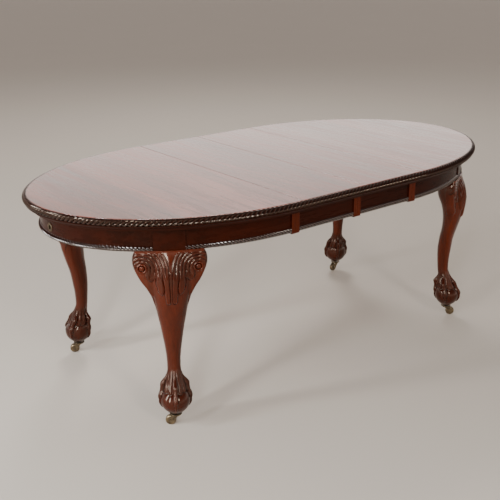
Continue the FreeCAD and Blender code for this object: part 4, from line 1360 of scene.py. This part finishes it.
class DINING_TABLE_OT_casters(bpy.types.Operator):
    """Add the brass casters"""

    bl_idname = "dining_table.casters"
    bl_label = "Casters"

    def execute(self, context):
        """Build the casters."""
        for side in SIDES:
            for way in WAYS:
                corner = f"{way}_{side}"
                parts = (
                    ("plate", f"{side}_end", METAL_ARRIS),
                    ("horn", f"caster_{corner}", METAL_ARRIS),
                    ("axle", f"caster_{corner}", AXLE_ARRIS),
                    ("wheel", f"wheel_{corner}", WHEEL_ARRIS),
                )
                for part, body, arris in parts:
                    refined(f"caster_{part}_{corner}", f"brass_{part}_{corner}", "brass", body,
                            "aged_brass", arris)
        return {"FINISHED"}


class DINING_TABLE_OT_drive(bpy.types.Operator):
    """Add the crank bush, the threaded screw, its bearing, nut and tube"""

    bl_idname = "dining_table.drive"
    bl_label = "Drive"

    def execute(self, context):
        """Build the drive."""
        refined("crank_escutcheon", "brass_bush", "brass", "left_end", "aged_brass", BUSH_ARRIS)
        add_screw()
        refined("screw_bearing", "bearing_block", "frame_y", "left_end", "inner_frame_wood")
        refined("screw_nut", "brass_nut", "brass", "right_end", "aged_brass")
        refined("screw_tube", "steel_tube", "steel", "right_end", "screw_steel", METAL_ARRIS)
        refined("tube_bracket", "tube_block", "frame_y", "right_end", "inner_frame_wood")
        return {"FINISHED"}


class DINING_TABLE_OT_frame(bpy.types.Operator):
    """Add the slides, cross rails, corner braces and leaf battens"""

    bl_idname = "dining_table.frame"
    bl_label = "Inner Frame"

    def execute(self, context):
        """Build the inner frame."""
        for side in SIDES:
            end, leaf = f"{side}_end", f"leaf_{side}"
            parts = [
                (f"cross_rails_{side}", f"cross_bars_{side}", "frame_y", end),
                (f"corner_braces_{side}", f"braces_{side}", "frame_y", end),
                (f"leaf_battens_{side}", f"battens_{side}", "frame_x", leaf),
            ]
            for way in WAYS:
                corner = f"{way}_{side}"
                parts.append((f"slide_{corner}", f"sliding_bar_{corner}", "frame_x", end))
            for part in parts:
                refined(*part, "inner_frame_wood")
        return {"FINISHED"}


STEPS = (
    DINING_TABLE_OT_stage, DINING_TABLE_OT_boards, DINING_TABLE_OT_edges, DINING_TABLE_OT_aprons,
    DINING_TABLE_OT_ropes, DINING_TABLE_OT_legs, DINING_TABLE_OT_casters, DINING_TABLE_OT_drive,
    DINING_TABLE_OT_frame,
)


class DINING_TABLE_PT_panel(bpy.types.Panel):
    """Lists the table's pieces and settings."""

    bl_idname = "DINING_TABLE_PT_panel"
    bl_label = "Dining Table"
    bl_space_type = "VIEW_3D"
    bl_region_type = "UI"
    bl_category = "Dining Table"

    def draw(self, context):
        """Draw the panel."""
        layout = self.layout
        for step in STEPS:
            layout.operator(step.bl_idname)
        for group in (sizes(), colours()):
            box = layout.box()
            for key in group.bl_rna.properties.keys():
                if key not in {"rna_type", "name"}:
                    box.prop(group, key)


CLASSES = (TableSizes, TableColours, *STEPS, DINING_TABLE_PT_panel)


def register():
    """Register the classes and hang the settings on the scene."""
    for item in CLASSES:
        bpy.utils.register_class(item)
    bpy.types.Scene.dining_table_sizes = bpy.props.PointerProperty(type=TableSizes)
    bpy.types.Scene.dining_table_colours = bpy.props.PointerProperty(type=TableColours)


def unregister():
    """Undo register."""
    del bpy.types.Scene.dining_table_colours
    del bpy.types.Scene.dining_table_sizes
    for item in reversed(CLASSES):
        bpy.utils.unregister_class(item)


def main():
    """Build every piece."""
    register()
    for step in STEPS:
        getattr(bpy.ops.dining_table, step.bl_idname.split(".")[1])()


if __name__ == "__main__":
    main()
